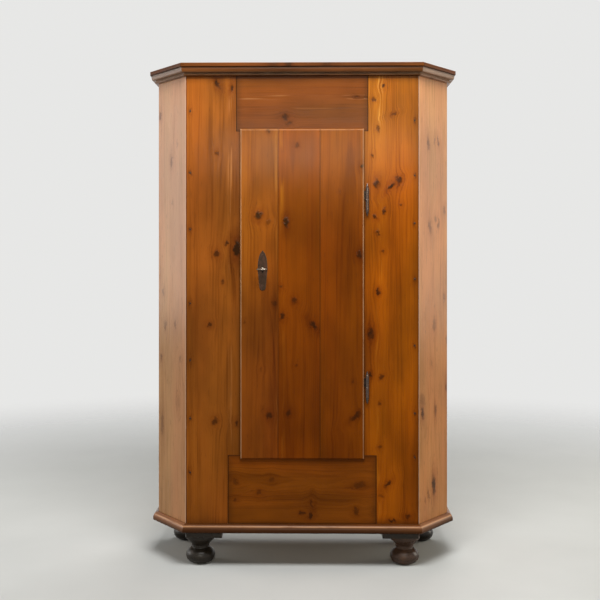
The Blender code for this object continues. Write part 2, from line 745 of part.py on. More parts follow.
def make_hinges(root, door, boards):
    """Two spindle hinges: pin and lower barrel on the stile, upper barrel on the door."""
    for index, (word, level) in enumerate(zip(("lower", "upper"), HINGE_Z)):
        centre = (HINGE_X, HINGE_DEPTH, level)
        fixed = [(radius, -along) for radius, along in hinge_profile(False)]
        pintle = turned(fixed, centre, HINGE_SIDES)
        name = "hinge_pintle_" + word
        pintle = new_object(name, close_mesh(name, pintle), IRON, root)
        span = leaf_span(level, -1)
        plate = block((HINGE_X + LEAF_OFFSET, HINGE_X + HINGE_RADIUS),
                      (HINGE_DEPTH - GAP, LEAF_INTO_STILE), span)
        combine(pintle, tool("stile_leaf_%d" % index, plate, root), "UNION")
        shade(pintle)
        knuckle = turned(hinge_profile(True), centre, HINGE_SIDES)
        name = "hinge_knuckle_" + word
        knuckle = new_object(name, close_mesh(name, knuckle), IRON, door)
        span = leaf_span(level, 1)
        depths = (HINGE_DEPTH + LEAF_OFFSET, HINGE_DEPTH + HINGE_RADIUS)
        tip = DOOR_HALF - LEAF_INTO_DOOR
        plate = block((tip, HINGE_X + GAP), depths, span)
        combine(knuckle, tool("door_leaf_%d" % index, plate, door), "UNION")
        shade(knuckle)
        play = MORTISE_PLAY
        slot = block((tip - play, DOOR_HALF + OVERSHOOT), (depths[0] - play, depths[1] + play),
                     (span[0] - play, span[1] + play))
        combine(boards["right"], tool("door_mortise_%d" % index, slot, door))


def escutcheon_outline():
    """Plate as (x, z) about the key's axis: half an ellipse to a blunt point above, a taper below."""
    upper = arc((0, 0), (PLATE_HALF, PLATE_ABOVE - PLATE_TIP), 0, SHOULDER_ANGLE, 8)
    end = -(PLATE_BELOW - PLATE_FOOT_HALF)
    foot = arc((0, end), (PLATE_FOOT_HALF, PLATE_FOOT_HALF), -pi / 2, 0, 5)
    right = foot + upper
    left = [(-x, z) for x, z in reversed(right[1:])]
    return [(KEY_X + x, KEY_Z + z) for x, z in right + [(0, PLATE_ABOVE)] + left]


def keyhole(play, front, back):
    """Round hole with a slot below it that lets the bit through, as one cutting shape."""
    radius = KEY_SHANK_RADIUS + play
    slot = SLOT_HALF
    start = asin(slot / radius) - pi / 2
    hole = arc((0, 0), (radius, radius), start, pi - start, 14)
    drop = -(BIT_REACH + 2 * KEYHOLE_PLAY)
    outline = hole + [(-slot, drop), (slot, drop)]
    return panel([(KEY_X + x, KEY_Z + z) for x, z in outline], front, back)


def make_escutcheon(door, board):
    """Iron plate with two domed rivets, and the keyhole through plate and board."""
    face = -DOOR_PROUD - GAP
    front = face - PLATE_THICK
    plate = panel(escutcheon_outline(), front, face)
    round_edges(plate, lambda spot: spot.y < front + GAP / 10, PLATE_EDGE_RADIUS, 1)
    plate = new_object("escutcheon", close_mesh("escutcheon", plate), IRON, door)
    for index, z in enumerate((PLATE_ABOVE - RIVET_FROM_TIP, RIVET_FROM_TIP - PLATE_BELOW)):
        dome = arc((0, front), (RIVET_RADIUS, -RIVET_RISE), 0, pi / 2, 3)
        dome = [(0, front + GAP), (RIVET_RADIUS, front + GAP)] + dome[:-1]
        dome += [(0, front - RIVET_RISE)]
        shape = turned(dome, (KEY_X, 0, KEY_Z + z), SMALL_SIDES, "Y")
        combine(plate, tool("rivet_%d" % index, shape, door), "UNION")
    hole = keyhole(KEYHOLE_PLAY, front - OVERSHOOT, face + GAP / 2)
    combine(plate, tool("plate_keyhole", hole, door))
    shade(plate)
    hole = keyhole(2 * KEYHOLE_PLAY, -DOOR_PROUD - GAP / 2, DOOR_BACK + OVERSHOOT)
    combine(board, tool("board_keyhole", hole, door))


def make_lock(door, bolt_guide):
    """Iron case open towards the door, with the sliding bolt inside it."""
    right = CASE_LEFT + CASE_WIDTH
    low = CASE_HIGH - CASE_HEIGHT
    front = DOOR_BACK + GAP
    back = DOOR_BACK + CASE_DEPTH
    wall = CASE_WALL
    case = block((CASE_LEFT, right), (front, back), (low, CASE_HIGH))
    round_edges(case, lambda spot: spot.y > back - GAP, CASE_EDGE_RADIUS, 2)
    case = new_object("lock_case", close_mesh("lock_case", case), IRON, door)
    hollow = block((CASE_LEFT + wall, right - wall), (front - OVERSHOOT, back - wall),
                   (low + wall, CASE_HIGH - wall))
    combine(case, tool("lock_hollow", hollow, door))
    play = BOLT_PLAY
    bolt_high = BOLT_LOW + BOLT_HEIGHT
    bolt_back = BOLT_FRONT + BOLT_THICK
    mouth = block((CASE_LEFT - OVERSHOOT, CASE_LEFT + wall + GAP), (BOLT_FRONT - play, bolt_back + play),
                  (BOLT_LOW - play, bolt_high + play))
    combine(case, tool("bolt_mouth", mouth, door))
    post_x = KEY_X + POST_FROM_KEY
    post_z = BOLT_LOW + BOLT_HEIGHT / 2
    post = turned([(0, BOLT_FRONT), (POST_RADIUS, BOLT_FRONT), (POST_RADIUS, back - wall / 2),
                   (0, back - wall / 2)], (post_x, 0, post_z), SMALL_SIDES, "Y")
    combine(case, tool("guide_post", post, door), "UNION")
    shade(case)

    left = CASE_LEFT - BOLT_SETBACK
    bolt = block((left, left + BOLT_LENGTH), (BOLT_FRONT, bolt_back), (BOLT_LOW, bolt_high))
    bolt = new_object("lock_bolt", close_mesh("lock_bolt", bolt), KEY_IRON, bolt_guide)
    sweep = BIT_REACH + 2 * BIT_THICK
    notch = block((KEY_X - 2 * BIT_THICK, KEY_X + sweep), (0, bolt_back + OVERSHOOT),
                  (BOLT_LOW - OVERSHOOT, KEY_Z + BIT_REACH + BIT_THICK / 2))
    combine(bolt, tool("bolt_talon", notch, bolt_guide))
    slot_half = POST_RADIUS + play
    slot = block((post_x - slot_half, post_x + slot_half + BOLT_THROW), (0, bolt_back + OVERSHOOT),
                 (post_z - slot_half, post_z + slot_half))
    combine(bolt, tool("bolt_slot", slot, bolt_guide))
    shade(bolt)


def make_strike(root):
    """Plate behind the left stile, which the bolt shuts against."""
    edge = -(OPENING_HALF + GAP)
    middle = BOLT_LOW + BOLT_HEIGHT / 2
    plate = block((edge - STRIKE_WIDTH, edge), (BOARD + GAP, BOARD + GAP + STRIKE_THICK),
                  (middle - STRIKE_HEIGHT / 2, middle + STRIKE_HEIGHT / 2))
    new_object("lock_strike", close_mesh("lock_strike", plate), IRON, root)


def make_key(turner):
    """Key with a ring bow that lies flat, a collar, and a bit pointing to the right."""
    front = -KEY_REACH
    bow_centre = front + BOW_HALF_LENGTH
    ring = []
    for i in range(BOW_SIDES):
        angle = 2 * pi * i / BOW_SIDES
        spot = Vector((cos(angle) * (BOW_HALF_WIDTH - BOW_ROD),
                       sin(angle) * (BOW_HALF_LENGTH - BOW_ROD), 0))
        across = Vector((cos(angle) * (BOW_HALF_LENGTH - BOW_ROD),
                         sin(angle) * (BOW_HALF_WIDTH - BOW_ROD), 0)).normalized()
        circle = arc((0, 0), (BOW_ROD, BOW_ROD), 0, 2 * pi, 8)[:-1]
        centre = Vector((KEY_X, bow_centre, KEY_Z))
        ring.append([centre + spot + across * out + Vector((0, 0, up)) for out, up in circle])
    bow = ring_body(ring)
    key = new_object("key", close_mesh("key", bow), KEY_IRON, turner)

    root = front + 2 * BOW_HALF_LENGTH - BOW_ROD
    collar = -DOOR_PROUD - GAP - PLATE_THICK - GAP - COLLAR_LENGTH
    radius = KEY_SHANK_RADIUS
    shank = [(0, root), (radius - SHANK_TAPER, root), (radius, root + BOW_ROD), (radius, collar),
             (COLLAR_RADIUS, collar + COLLAR_BEVEL),
             (COLLAR_RADIUS, collar + COLLAR_LENGTH - COLLAR_BEVEL), (radius, collar + COLLAR_LENGTH),
             (radius, SHANK_END - GAP), (0, SHANK_END - GAP)]
    shape = turned(shank, (KEY_X, 0, KEY_Z), SHANK_SIDES, "Y")
    combine(key, tool("key_shank", shape, turner), "UNION")
    bit = block((KEY_X, KEY_X + BIT_REACH), (BOLT_FRONT + GAP, BOLT_FRONT + BOLT_THICK - GAP),
                (KEY_Z - BIT_THICK / 2, KEY_Z + BIT_THICK / 2))
    combine(key, tool("key_bit", bit, turner), "UNION")
    shade(key)


def ring_body(sections):
    """Closed ring through sections of equal length."""
    bm = bmesh.new()
    rings = [[bm.verts.new(point) for point in section] for section in sections]
    count = len(rings[0])
    for index, near in enumerate(rings):
        far = rings[(index + 1) % len(rings)]
        for i in range(count):
            j = (i + 1) % count
            bm.faces.new((near[i], near[j], far[j], far[i]))
    return bm


def main():
    """Clear the scene and build the cupboard."""
    for old in list(bpy.data.objects):
        bpy.data.objects.remove(old, do_unlink=True)

    root = new_empty("cupboard", place=(0, ORIGIN_TO_FRONT, 0))
    door = new_empty("door_axis", root, (HINGE_X, HINGE_DEPTH, 0))
    key_axis = new_empty("key_axis", door, (KEY_X, 0, KEY_Z))
    bolt_guide = new_empty("bolt_guide", door, (CASE_LEFT, BOLT_FRONT, BOLT_LOW))

    make_boards(root)
    make_mouldings(root)
    make_feet(root)
    make_walls(root)
    make_back(root)
    make_stiles(root)
    make_rails(root)
    make_shelves(root)
    boards = make_door_boards(door)
    make_battens(door, boards)
    make_hinges(root, door, boards)
    make_escutcheon(door, boards["left"])
    make_lock(door, bolt_guide)
    make_strike(root)
    make_key(key_axis)
    for board in boards.values():
        shade(board)


main()
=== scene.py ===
"""Looks of a pine cupboard with one door, canted front corners and turned feet.

Everything is in metres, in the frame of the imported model: X to the right, Y from the door to the
back, Z up from the floor. Each board has grain of its own, worked out from its place.
"""

from math import cos, pi, sin

import bmesh
import bpy
from mathutils import Matrix, Vector


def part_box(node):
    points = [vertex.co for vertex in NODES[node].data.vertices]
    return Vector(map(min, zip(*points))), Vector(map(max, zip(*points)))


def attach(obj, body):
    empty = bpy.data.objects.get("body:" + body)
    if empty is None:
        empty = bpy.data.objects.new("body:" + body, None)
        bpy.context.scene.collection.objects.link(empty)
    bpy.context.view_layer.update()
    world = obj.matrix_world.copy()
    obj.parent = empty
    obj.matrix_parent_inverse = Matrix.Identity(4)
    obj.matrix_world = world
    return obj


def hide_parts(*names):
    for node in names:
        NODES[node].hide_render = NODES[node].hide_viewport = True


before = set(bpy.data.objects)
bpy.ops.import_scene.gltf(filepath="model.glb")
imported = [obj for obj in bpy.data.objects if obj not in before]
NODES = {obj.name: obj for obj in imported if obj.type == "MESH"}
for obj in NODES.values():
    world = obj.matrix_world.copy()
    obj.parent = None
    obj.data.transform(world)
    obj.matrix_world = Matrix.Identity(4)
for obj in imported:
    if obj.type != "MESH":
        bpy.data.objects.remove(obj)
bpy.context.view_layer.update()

# The photograph's frame in pixels, and the camera fitted to it
IMAGE_SIZE = 600
FOCAL_PIXELS = 960
CAMERA_PLACE = (0.0426, -3.7125, 1.156)
CAMERA_TURN = (pi / 2, 0, 0.015)
SENSOR_WIDTH = 36
SHIFT_RIGHT, SHIFT_UP = 0.7, -47.2

# Millimetres in a metre, directions, the run of each canted corner, and the depth of the front face
PER_METRE = 1000
UP, DOWN, RIGHT, LEFT = (0, 0, 1), (0, 0, -1), (1, 0, 0), (-1, 0, 0)
FRONT, BACK = (0, -1, 0), (0, 1, 0)
LEFT_RUN, RIGHT_RUN = (0.126, -0.162, 0), (0.126, 0.162, 0)
FRONT_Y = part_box("front_stile_left")[0].y

# Numbers in the names of the back boards and the shelves
BACK_BOARDS, SHELVES = (1, 2, 3, 4), (1, 2, 3)

# Linear colours of the pine, each as pale early wood and dark late wood
STILE = ((0.34, 0.083, 0.0022), (0.148, 0.029, 0.0005))
LEFT_STILE = ((0.283, 0.079, 0.0085), (0.124, 0.028, 0.0015))
TOP_RAIL = ((0.165, 0.045, 0.005), (0.08, 0.0185, 0.0015))
LOW_RAIL = ((0.248, 0.064, 0.004), (0.098, 0.021, 0.001))
TOP_BOARD = ((0.11, 0.032, 0.006), (0.052, 0.014, 0.002))
DOOR = ((0.196, 0.043, 0.0012), (0.082, 0.0135, 0.0003))
LEFT_DOOR = ((0.223, 0.055, 0.0048), (0.092, 0.017, 0.001))
RIGHT_DOOR = ((0.182, 0.041, 0.0012), (0.077, 0.013, 0.0003))
# The cants' colours, also used for the sides, are paled in part as a painted sheen
CANT = ((0.56, 0.24, 0.08), (0.4, 0.152, 0.038))
LEFT_CANT = ((0.525, 0.262, 0.112), (0.365, 0.155, 0.052))
MOULDING = ((0.118, 0.038, 0.008), (0.042, 0.011, 0.002))
# The side runs of the mouldings are paled in part as a painted sheen
SIDE_CORNICE = ((0.33, 0.19, 0.115), (0.18, 0.092, 0.05))
SIDE_BASE = ((0.19, 0.076, 0.03), (0.09, 0.032, 0.011))
BARE_WOOD = ((0.5, 0.298, 0.152), (0.32, 0.155, 0.064))

# Tints that multiply the pine's colour, and colours that are laid over it
# The dark knot colour is also the colour of dark joints, dirt and painted shade
KNOT_DARK, CANT_KNOT = (0.03, 0.01, 0.002), (0.075, 0.03, 0.01)
FLECK_DARK = (0.06, 0.018, 0.005)
STAIN_TINT, BAND_TINT = (0.66, 0.54, 0.5), (1.75, 2.5, 6)
REDDER, GOLDEN = (1.02, 0.95, 0.97), (0.99, 1.04, 1.02)
# Painted highlights: pale lines for the door's lip, the cants' front arrises and the base moulding's top
# round
RUBBED, PALE_ARRIS, BASE_ARRIS = (0.46, 0.28, 0.15), (0.66, 0.46, 0.35), (0.6, 0.3, 0.14)
# Painted sheen: tints that lighten the stiles, door boards and cants towards their tops
STILE_PALER, DOOR_PALER = (1.03, 1.28, 2.9), (1.5, 1.6, 0.8)
LEFT_DOOR_PALER, RIGHT_DOOR_PALER = (1.27, 1.43, 1.15), (1.22, 1.44, 1.25)
LEFT_CANT_PALER, CANT_PALER = (1.1, 1.14, 1.3), (1.06, 1.08, 1.18)

# Layers of noise in the pine: cells a metre across, through and along the board, detail,
# roughness, and then the ramp's steps (low, high, start, end) where the noise goes through one
PINE_LAYERS = {
    "wander": ((4, 4, 0.45), 2, 0.5),
    "jitter": ((40, 40, 1.8), 2, 0.5),
    "streak": ((44, 44, 1.1), 3, 0.55),
    "sweep": ((14, 14, 0.5), 2, 0.5),
    "fibre": ((620, 620, 9), 2, 0.6),
    "blotch": ((6, 6, 2.6), 3, 0.5),
    "fleck": ((330, 330, 26), 1, 0.5, 0.66, 0.76),
    "grain": ((150, 150, 4), 3, 0.6),
    "drift": ((9, 9, 1.1), 2, 0.5, 0.3, 0.7),
    "pale line": ((150, 150, 2.6), 3, 0.5, 0.46, 0.6),
    "flame": ((30, 30, 5.5), 2, 0.5, 0.4, 0.62),
    "mottle": ((110, 110, 80), 3, 0.5, 0.34, 0.52, 0.78, 1),
    "planed": ((11, 11, 2.2), 2, 0.5),
    # Patches that break up the painted highlights
    "rubbed": ((60, 60, 14), 3, 0.5, 0.25, 0.6, 0.45, 1),
}
SEED_STEP = (1.7, 3.1, 5.3)

# Growth rings: width, how far they wander, and late wood within a ring and from year to year
RING_WIDTH = 0.006
WANDER, JITTER = 0.04, 0.0018
LATE_RISE, LATE_FALL, YEARS = (0.3, 0.88), (1, 0.92), (0, 1, 0.35, 1)

# Tone: weight of the rings, then the middle and the weight of each layer, then late wood's ramp
RING_WEIGHT = 0.22
STREAK_TONE, SWEEP_TONE, FIBRE_TONE = (0.36, 1.2), (0.5, 0.7), (0.5, 0.34)
TONE_STEPS = (0, 1.1)
BLOTCH_STEPS = (0.28, 0.72, -1, 1)
FLECK_SHARE = 0.35

# Roughness and relief of the pine
ROUGH_STEPS, FIBRE_ROUGH, BARE_ROUGH, DIRT_ROUGH = (0.2, 0.8, 0.11, 0.17), 0.04, 0.44, 0.25
PLANED_RELIEF, RING_RELIEF, FIBRE_RELIEF, KNOT_RELIEF = 0.00055, 0.00005, 0.00007, 0.0003

# Knots: edge of the core and spread of the stain in radii, push on the grain, ragged outline
CORE_STEPS = (1.3, 0.4)
STAIN_SPREAD, PUSH_SPREAD, PUSH = 2, 2.6, -0.7
RAGGED = {"Scale": 60, "Detail": 4, "Roughness": 0.62}
RAGGED_REACH = (0.03, 0, 0.038)

# Worn arrises, and corners darkened by ambient occlusion as dirt and as painted shade
SAMPLES = 4
WORN_STEPS, DIRTY_STEPS = (0.985, 0.8), (0.75, 0.25)
ARRIS, ARRIS_WEAR = 0.003, 0.35
DIRT_REACH = 0.014
BARE_SKIN, BARE_EDGE = 0.0006, 0.0005

# How a board looks where nothing else is said. Bare is the share of bare wood, or None where only
# the innermost face is bare. A band is (place across, half width, strength); between the band
# levels the bands grow from band_low to full. The top tint is (low, high, tint), a painted sheen
# that lightens the board towards its top. The highlight is a pale painted highlight line along an
# edge; the seam darkens joints, and on the base moulding paints shade; the grime darkens as grime
# and as painted shade. Each of these has a strength for the low side, the high side, the low end
# and the high end. Dirt darkens corners found by ambient occlusion, as dirt and as painted shade.
NOWHERE = (0, 0, 0, 0)
PLAIN_LOOK = {
    "bare": None, "gloss": 0.045, "roughness": 0, "knot": KNOT_DARK, "blotch": 0.28, "grain": 1.2,
    "bands": (), "band_levels": (0, 0.1), "band_low": 1, "pale_top": None,
    "rub": NOWHERE, "rub_place": (0.0043, 0.0017), "rub_colour": RUBBED,
    "seam": NOWHERE, "seam_width": 0.0032, "grime": NOWHERE, "grime_width": 0.018, "dirt": 0.6,
}
# The cants take a painted highlight along their front arris
CANT_LOOK = {"gloss": 0.1, "roughness": 0.12, "knot": CANT_KNOT, "rub_place": (0.002, 0.003),
             "rub_colour": PALE_ARRIS}
SIDE_LOOK = {"gloss": 0.1, "roughness": 0.14}
MOULDING_LOOK = {"bare": 0, "blotch": 0.4, "gloss": 0.1, "roughness": 0.1}
RAIL_SEAM = (0.6, 0.6, 0.9, 0.9)
PITH = (0, 0.07, 0.02)

# Angle from which an edge stays sharp, closing of split edges, and rounding of the arrises
SMOOTH_ANGLE = 0.6
WELD_DISTANCE, ROUND_STEPS = 0.00001, 2
BOARD_ROUND, DOOR_ROUND, MOULDING_ROUND, BLOCK_ROUND = 0.001, 0.0005, 0.0004, 0.0006
LOCK_ROUND, IRON_ROUND = 0.0004, 0.0003

# Nails in the stiles in millimetres, and the stain round each: (radius, stretch, strength)
LEFT_NAIL_X, RIGHT_NAIL_X = -411.6, 412.7
LEFT_NAILS = (1677, 1450, 1242, 970, 760, 547, 348)
RIGHT_NAILS = (1641, 1439, 1264, 1060, 816, 567, 406)
NAIL_STAIN = (5, 2.2, 0.45)

# Knots of each board: (across, along, radius) in millimetres, stretch and strength, and the
# lean in radians where one leans
KNOTS = {
    "front_stile_left": [(-311, 1776, 9, 2, 1, 0.5), (-262, 1761, 8, 1.5, 0.9, -0.5),
        (-312.5, 1522.5, 6, 1.8, 0.6, 0.2), (-277, 1194, 7, 1.7, 0.8), (-314, 1153, 10, 1.2, 0.72, 0.3),
        (-241, 1173, 14, 2.1, 1.5), (-290.5, 1052, 5, 2, 0.6), (-340, 891, 9, 1, 0.7),
        (-320, 537, 13, 1.1, 0.7, 0.2), (-242, 532.5, 8, 1.6, 0.75),
        *((LEFT_NAIL_X, z, *NAIL_STAIN) for z in LEFT_NAILS)],
    "front_stile_right": [(296, 1766, 8, 1.2, 0.95), (263, 1720, 7, 1.4, 0.66), (278, 1611, 6, 1.6, 0.65),
        (337, 1665, 5, 2.8, 0.55, -1.2), (260, 1513, 5, 1.6, 0.6), (274, 1411, 11, 1.9, 0.85),
        (325, 1402, 9, 2.4, 1, -0.95), (345, 1416, 10, 1.3, 0.9, -0.6), (363, 1333, 6, 1.2, 0.6),
        (300, 1311, 8, 1.4, 0.8, -0.4), (269.5, 1292, 7, 1.6, 0.8), (276.5, 1229, 6, 2, 0.65),
        (297, 1161, 6, 1.2, 0.65), (278, 1011, 8, 1.5, 0.9), (252, 859, 14, 1.7, 0.9),
        (293, 701, 7, 1.6, 0.65, -0.8), (249, 707, 9, 1.3, 0.85), (285, 606, 6, 1.2, 0.6),
        (285, 443, 6, 1.4, 0.55), (314, 308, 8, 2.4, 0.8, -0.8), (293, 271, 7, 1.2, 0.35),
        (388, 189.5, 12, 0.6, 0.75), (331, 173, 13, 0.5, 0.95),
        *((RIGHT_NAIL_X, z, *NAIL_STAIN) for z in RIGHT_NAILS)],
    "cant_board_left": [(-223, 1500, 9, 2.6, 0.62), (-180, 1560, 8, 2.4, 0.24), (-216, 1343, 9, 1.2, 0.24),
        (-308, 1680, 8, 2, 0.64), (-284, 1007, 9, 1.6, 0.4), (-193, 886, 7, 2.2, 0.48),
        (-269, 878, 13, 1.6, 0.44), (-300, 757, 9, 1.8, 0.56), (-156, 762, 9, 1.6, 0.32),
        (-175, 600, 16, 1.6, 0.16), (-292, 502, 12, 4, 0.4)],
    "cant_board_right": [(182, 1562, 9, 2.6, 0.64, 0.15), (226, 1574, 6, 2.6, 0.44, -0.2),
        (252, 1574, 8, 2.6, 0.64, 0.2), (193, 1255, 10, 2.8, 0.58, 0.2), (232, 1284, 9, 1.2, 0.4, 0.7),
        (250, 1270, 7, 2.8, 0.52, 0.1), (225, 888, 12, 2.4, 0.44), (205, 745, 7, 1.8, 0.24),
        (299, 1316, 8, 2, 0.48), (299, 987, 8, 2, 0.48), (141, 566, 11, 2.2, 0.85, 0.1),
        (139, 600, 16, 1.6, 0.36, 0.2), (232, 564, 10, 2.2, 0.48), (222, 285, 13, 3, 1),
        (190, 262, 9, 2.2, 0.48, 0.3), (166, 240, 7, 2, 0.32), (314, 641, 8, 2, 0.48),
        (316, 820, 7, 2.2, 0.4)],
    "side_board_left": [(100, 1520, 11, 1.2, 0.9), (170, 1210, 9, 1.3, 0.9), (60, 980, 12, 1.2, 0.9),
        (-20, 660, 10, 1.2, 0.9), (-160, 410, 11, 1.2, 0.9), (-90, 1730, 8, 1.2, 0.8),
        (-50, 240, 9, 1.2, 0.8)],
    "side_board_right": [(120, 1660, 10, 1.2, 0.9), (-10, 1340, 12, 1.2, 0.9), (180, 1120, 8, 1.3, 0.8),
        (50, 830, 11, 1.2, 0.9), (150, 520, 12, 1.2, 0.9), (20, 290, 9, 1.2, 0.8)],
    "door_board_left": [(-122, 1606, 8, 1.2, 0.6), (-160, 1292, 13, 1.3, 1), (-128, 1275, 12, 0.7, 0.35),
        (-103, 973, 7, 1.5, 0.55), (-213, 904, 6, 1.2, 0.35), (-151, 729, 6, 1.2, 0.25),
        (-121, 561, 10, 1.4, 0.72), (-140, 575, 6, 1.6, 0.25)],
    "door_board_middle": [(-20, 1548, 6, 1.2, 0.6), (-57, 1272, 9, 2.2, 1), (-77.5, 1031, 7, 1.2, 0.6),
        (-29, 981, 9, 1.3, 0.66), (-71, 923, 9, 1.5, 0.8), (43, 889, 9, 2.6, 0.9, 0.7),
        (-49, 569, 9, 1.3, 0.62), (-19, 741, 6, 1.2, 0.4)],
    "door_board_right": [(222, 1472, 9, 1.4, 0.9), (139, 1377, 6, 1.2, 0.25), (208, 1149, 10, 1.2, 0.9),
        (187, 685, 6, 1.2, 0.35), (194, 554, 9, 3, 0.75, -0.9)],
    "cornice": [(-1800, -63, 10, 1.4, 0.55), (-1800, 75, 11, 2, 0.45), (-1796, -270, 9, 3, 0.35),
        (-1800, 190, 10, 2.8, 0.4), (-1790, -400, 10, 2.5, 0.45), (-1800, -160, 9, 3.2, 0.3),
        (-1792, 370, 10, 2.4, 0.4)],
    "top_rail": [(-1654, -62, 12, 1, 0.8), (-1640, -52, 8, 1.3, 0.6), (-1729, 199, 6, 1.8, 0.75),
        (-1729, 227, 5, 1.8, 0.28)],
    "bottom_rail": [(-324, -113, 11, 1, 0.32, 0.9), (-274, -156.5, 9, 1.2, 0.5), (-251, -242, 7, 1.2, 0.5),
        (-313, -242, 14, 0.8, 0.45, 0.6), (-200.5, 0, 8, 1.4, 0.7), (-191, 29, 14, 0.8, 0.8),
        (-226, 35, 22, 0.3, 0.6), (-206, 197, 15, 0.7, 0.58), (-305, 211.5, 16, 1.7, 0.5, 0.1),
        (-206, 262, 12, 0.8, 0.15)],
}

# Knots of the back boards: (share of the width, then z and radius in millimetres)
BACK_KNOTS = (((0.3, 360, 11), (0.71, 920, 8), (0.22, 1190, 12), (0.58, 1610, 9)),
              ((0.66, 520, 9), (0.35, 810, 13), (0.78, 1330, 10)),
              ((0.24, 270, 10), (0.52, 690, 8), (0.74, 1040, 12), (0.31, 1470, 10)),
              ((0.62, 440, 12), (0.28, 1120, 9), (0.7, 1240, 8), (0.45, 1700, 11)))
BACK_KNOT_SHAPE = (1.2, 0.9)

# Stains on the top's front edge: (x in millimetres, stretch, strength), and their radius
TOP_STAINS, TOP_STAIN = ((-108, 2.2, 0.5), (-63, 1.3, 0.9), (88, 1.8, 0.45)), 10

# Kinds of iron: brown skin, edges rubbed bright, and roughness
FORGED = ((0.085, 0.07, 0.06), (0.42, 0.39, 0.36), 0.38)
HANDLED = ((0.2, 0.16, 0.12), (0.62, 0.56, 0.48), 0.26)
HINGE_IRON = ((0.052, 0.038, 0.03), (0.5, 0.45, 0.41), 0.13)
PLATE_IRON = ((0.028, 0.017, 0.01), (0.16, 0.11, 0.078), 0.5)
NAIL_IRON = ((0.02, 0.014, 0.011), (0.1, 0.08, 0.065), 0.55)
SCREW_IRON = ((0.07, 0.058, 0.05), (0.35, 0.32, 0.29), 0.42)
# Soot for the hollows, which also colours the painted shadow on the hinge leaf
RUST, SOOT = (0.07, 0.028, 0.014), (0.01, 0.007, 0.005)
IRON_PATCHES, HAMMERED, PITS = ((90, 90, 60), 4, 0.6), ((160, 160, 110), 1), ((900, 900, 900), 2)
RUST_STEPS, METAL_STEPS, PATCH_STEPS = (0.35, 0.7), (0.4, 0.75, 0.95, 0.55), (0.3, 0.7)
IRON_ARRIS, IRON_DIRT_REACH, IRON_DIRT = 0.0016, 0.009, 0.9
BRIGHT_ALL_OVER, BRIGHT_SHARE = 0.1, 0.8
DULLER, SMOOTHER = 0.25, -0.12
# Painted shadow on the hinge leaf: where it starts and how dark it gets
SOOTY_EDGE, SOOTY_SHARE = 0.0008, 0.92
FORGED_DENTS, HINGE_DENTS, PIT_SHARE = 0.0004, 0.00006, 0.3

# Paint on the feet: colour, wood where it has worn through, and how much of it is left
BLACK_PAINT = ((0.0155, 0.0115, 0.0078), (0.078, 0.044, 0.022), 0.6)
BROWN_PAINT = ((0.046, 0.026, 0.017), (0.115, 0.056, 0.03), 0.52)
PAINT_PATCHES, BRUSHED = ((22, 22, 30), 5, 0.62), ((40, 40, 700), 3)
PAINT_ARRIS, PAINT_WEAR, PAINT_EDGE = 0.006, 0.16, 0.12
THIN_PAINT, BARE_SHARE = 2.2, 0.75
PAINT_ROUGH, PAINT_GLOSS = (0.3, 0.7, 0.22, 0.42), 0.24
PAINT_THICKNESS, BRUSH_RELIEF = -0.00025, 0.00012

# Turned feet: ball, neck, cup, rim and spigot
CORNERS = ("front_left", "front_right", "rear_left", "rear_right")
FOOT_SIDES = 96
FOOT_TURN = 1.3
SOLE = [(0, 0), (0.029, 0), (0.03, 0.0006)]
BALL_RADIUS, BALL_Z, BALL_HALF, BALL_STEPS = 0.054, 0.0287, 0.035, 39
BALL_LOW, BALL_HIGH = -0.306 * pi, 0.302 * pi
NECK = [(0.0302, 0.06), (0.0305, 0.0618), (0.0318, 0.0624), (0.0328, 0.0634), (0.0332, 0.0648),
        (0.0328, 0.0662), (0.0326, 0.0672)]
CUP = [(0.033, 0.0682), (0.0372, 0.0735), (0.0426, 0.0795), (0.0494, 0.0866), (0.0551, 0.0925)]
CUP_STEPS = 6
RIM_RADIUS, RIM_ROUND, RIM_STEPS = 0.0547, 0.0018, 6
RIM_ARCS = ((0.0951, -0.42 * pi, 0.42 * pi), (0.1038, 0, 0.5 * pi))
SPIGOT = [(0.015, 0.1056), (0.015, 0.1265), (0, 0.1265)]

# Nails as (radius, rise), their places, and the outline of a head as shares of the two
STILE_NAIL, BACK_NAIL, TOP_NAIL = (0.0036, 0.0007), (0.0038, 0.0009), (0.0034, 0.0007)
BATTEN_NAIL, CLEAT_NAIL = (0.0036, 0.0009), (0.0028, 0.0006)
BACK_NAIL_SHARES, BACK_NAIL_WANDER, WAVE_X, WAVE_Z = (0.25, 0.75), 0.004, 9, 5
BACK_NAILS = (0.145, 0.408, 0.778, 1.148, 1.52, 1.815)
TOP_REAR_NAILS, TOP_FRONT_NAILS = (-0.51, -0.26, 0.02, 0.27, 0.52), (-0.38, -0.13, 0.12, 0.39)
TOP_INSET, REAR_PLANK_INSET = 0.045, 0.03
BATTEN_NAILS = (-0.165, -0.112, -0.06, 0.038, 0.094, 0.17)
BATTEN_STAGGER, BATTEN_MARGIN = 0.011, 0.01
CLEAT_NAIL_SHARES, CLEAT_NAIL_RISE = (0.15, 0.5, 0.85), 0.012
NAIL_SINK, NAIL_SIDES, NAIL_OVAL, NAIL_TURN = 0.0004, 14, 0.9, 7.1
NAIL_DOME = ((1, 0.25), (0.82, 0.72), (0.5, 0.95), (0, 1))

# Screws as (radius, rise), their insets from the corners, and how their turn goes with their place
LOCK_SCREW, STRIKE_SCREW = (0.0036, 0.0012), (0.0034, 0.001)
LOCK_INSET, STRIKE_INSET, STRIKE_ASIDE = 0.0075, 0.01, 0.006
SCREW_SINK, SCREW_SIDES, SCREW_SLOT, SCREW_FLOOR = 0.0003, 24, 0.15, 0.35
SCREW_STEPS, LOCK_TURN_X, LOCK_TURN_Z, STRIKE_TURN = 12, 5, 3, 9
SCREW_HALF = ((1, 0.3), (1, 0.75), (0.86, 1))

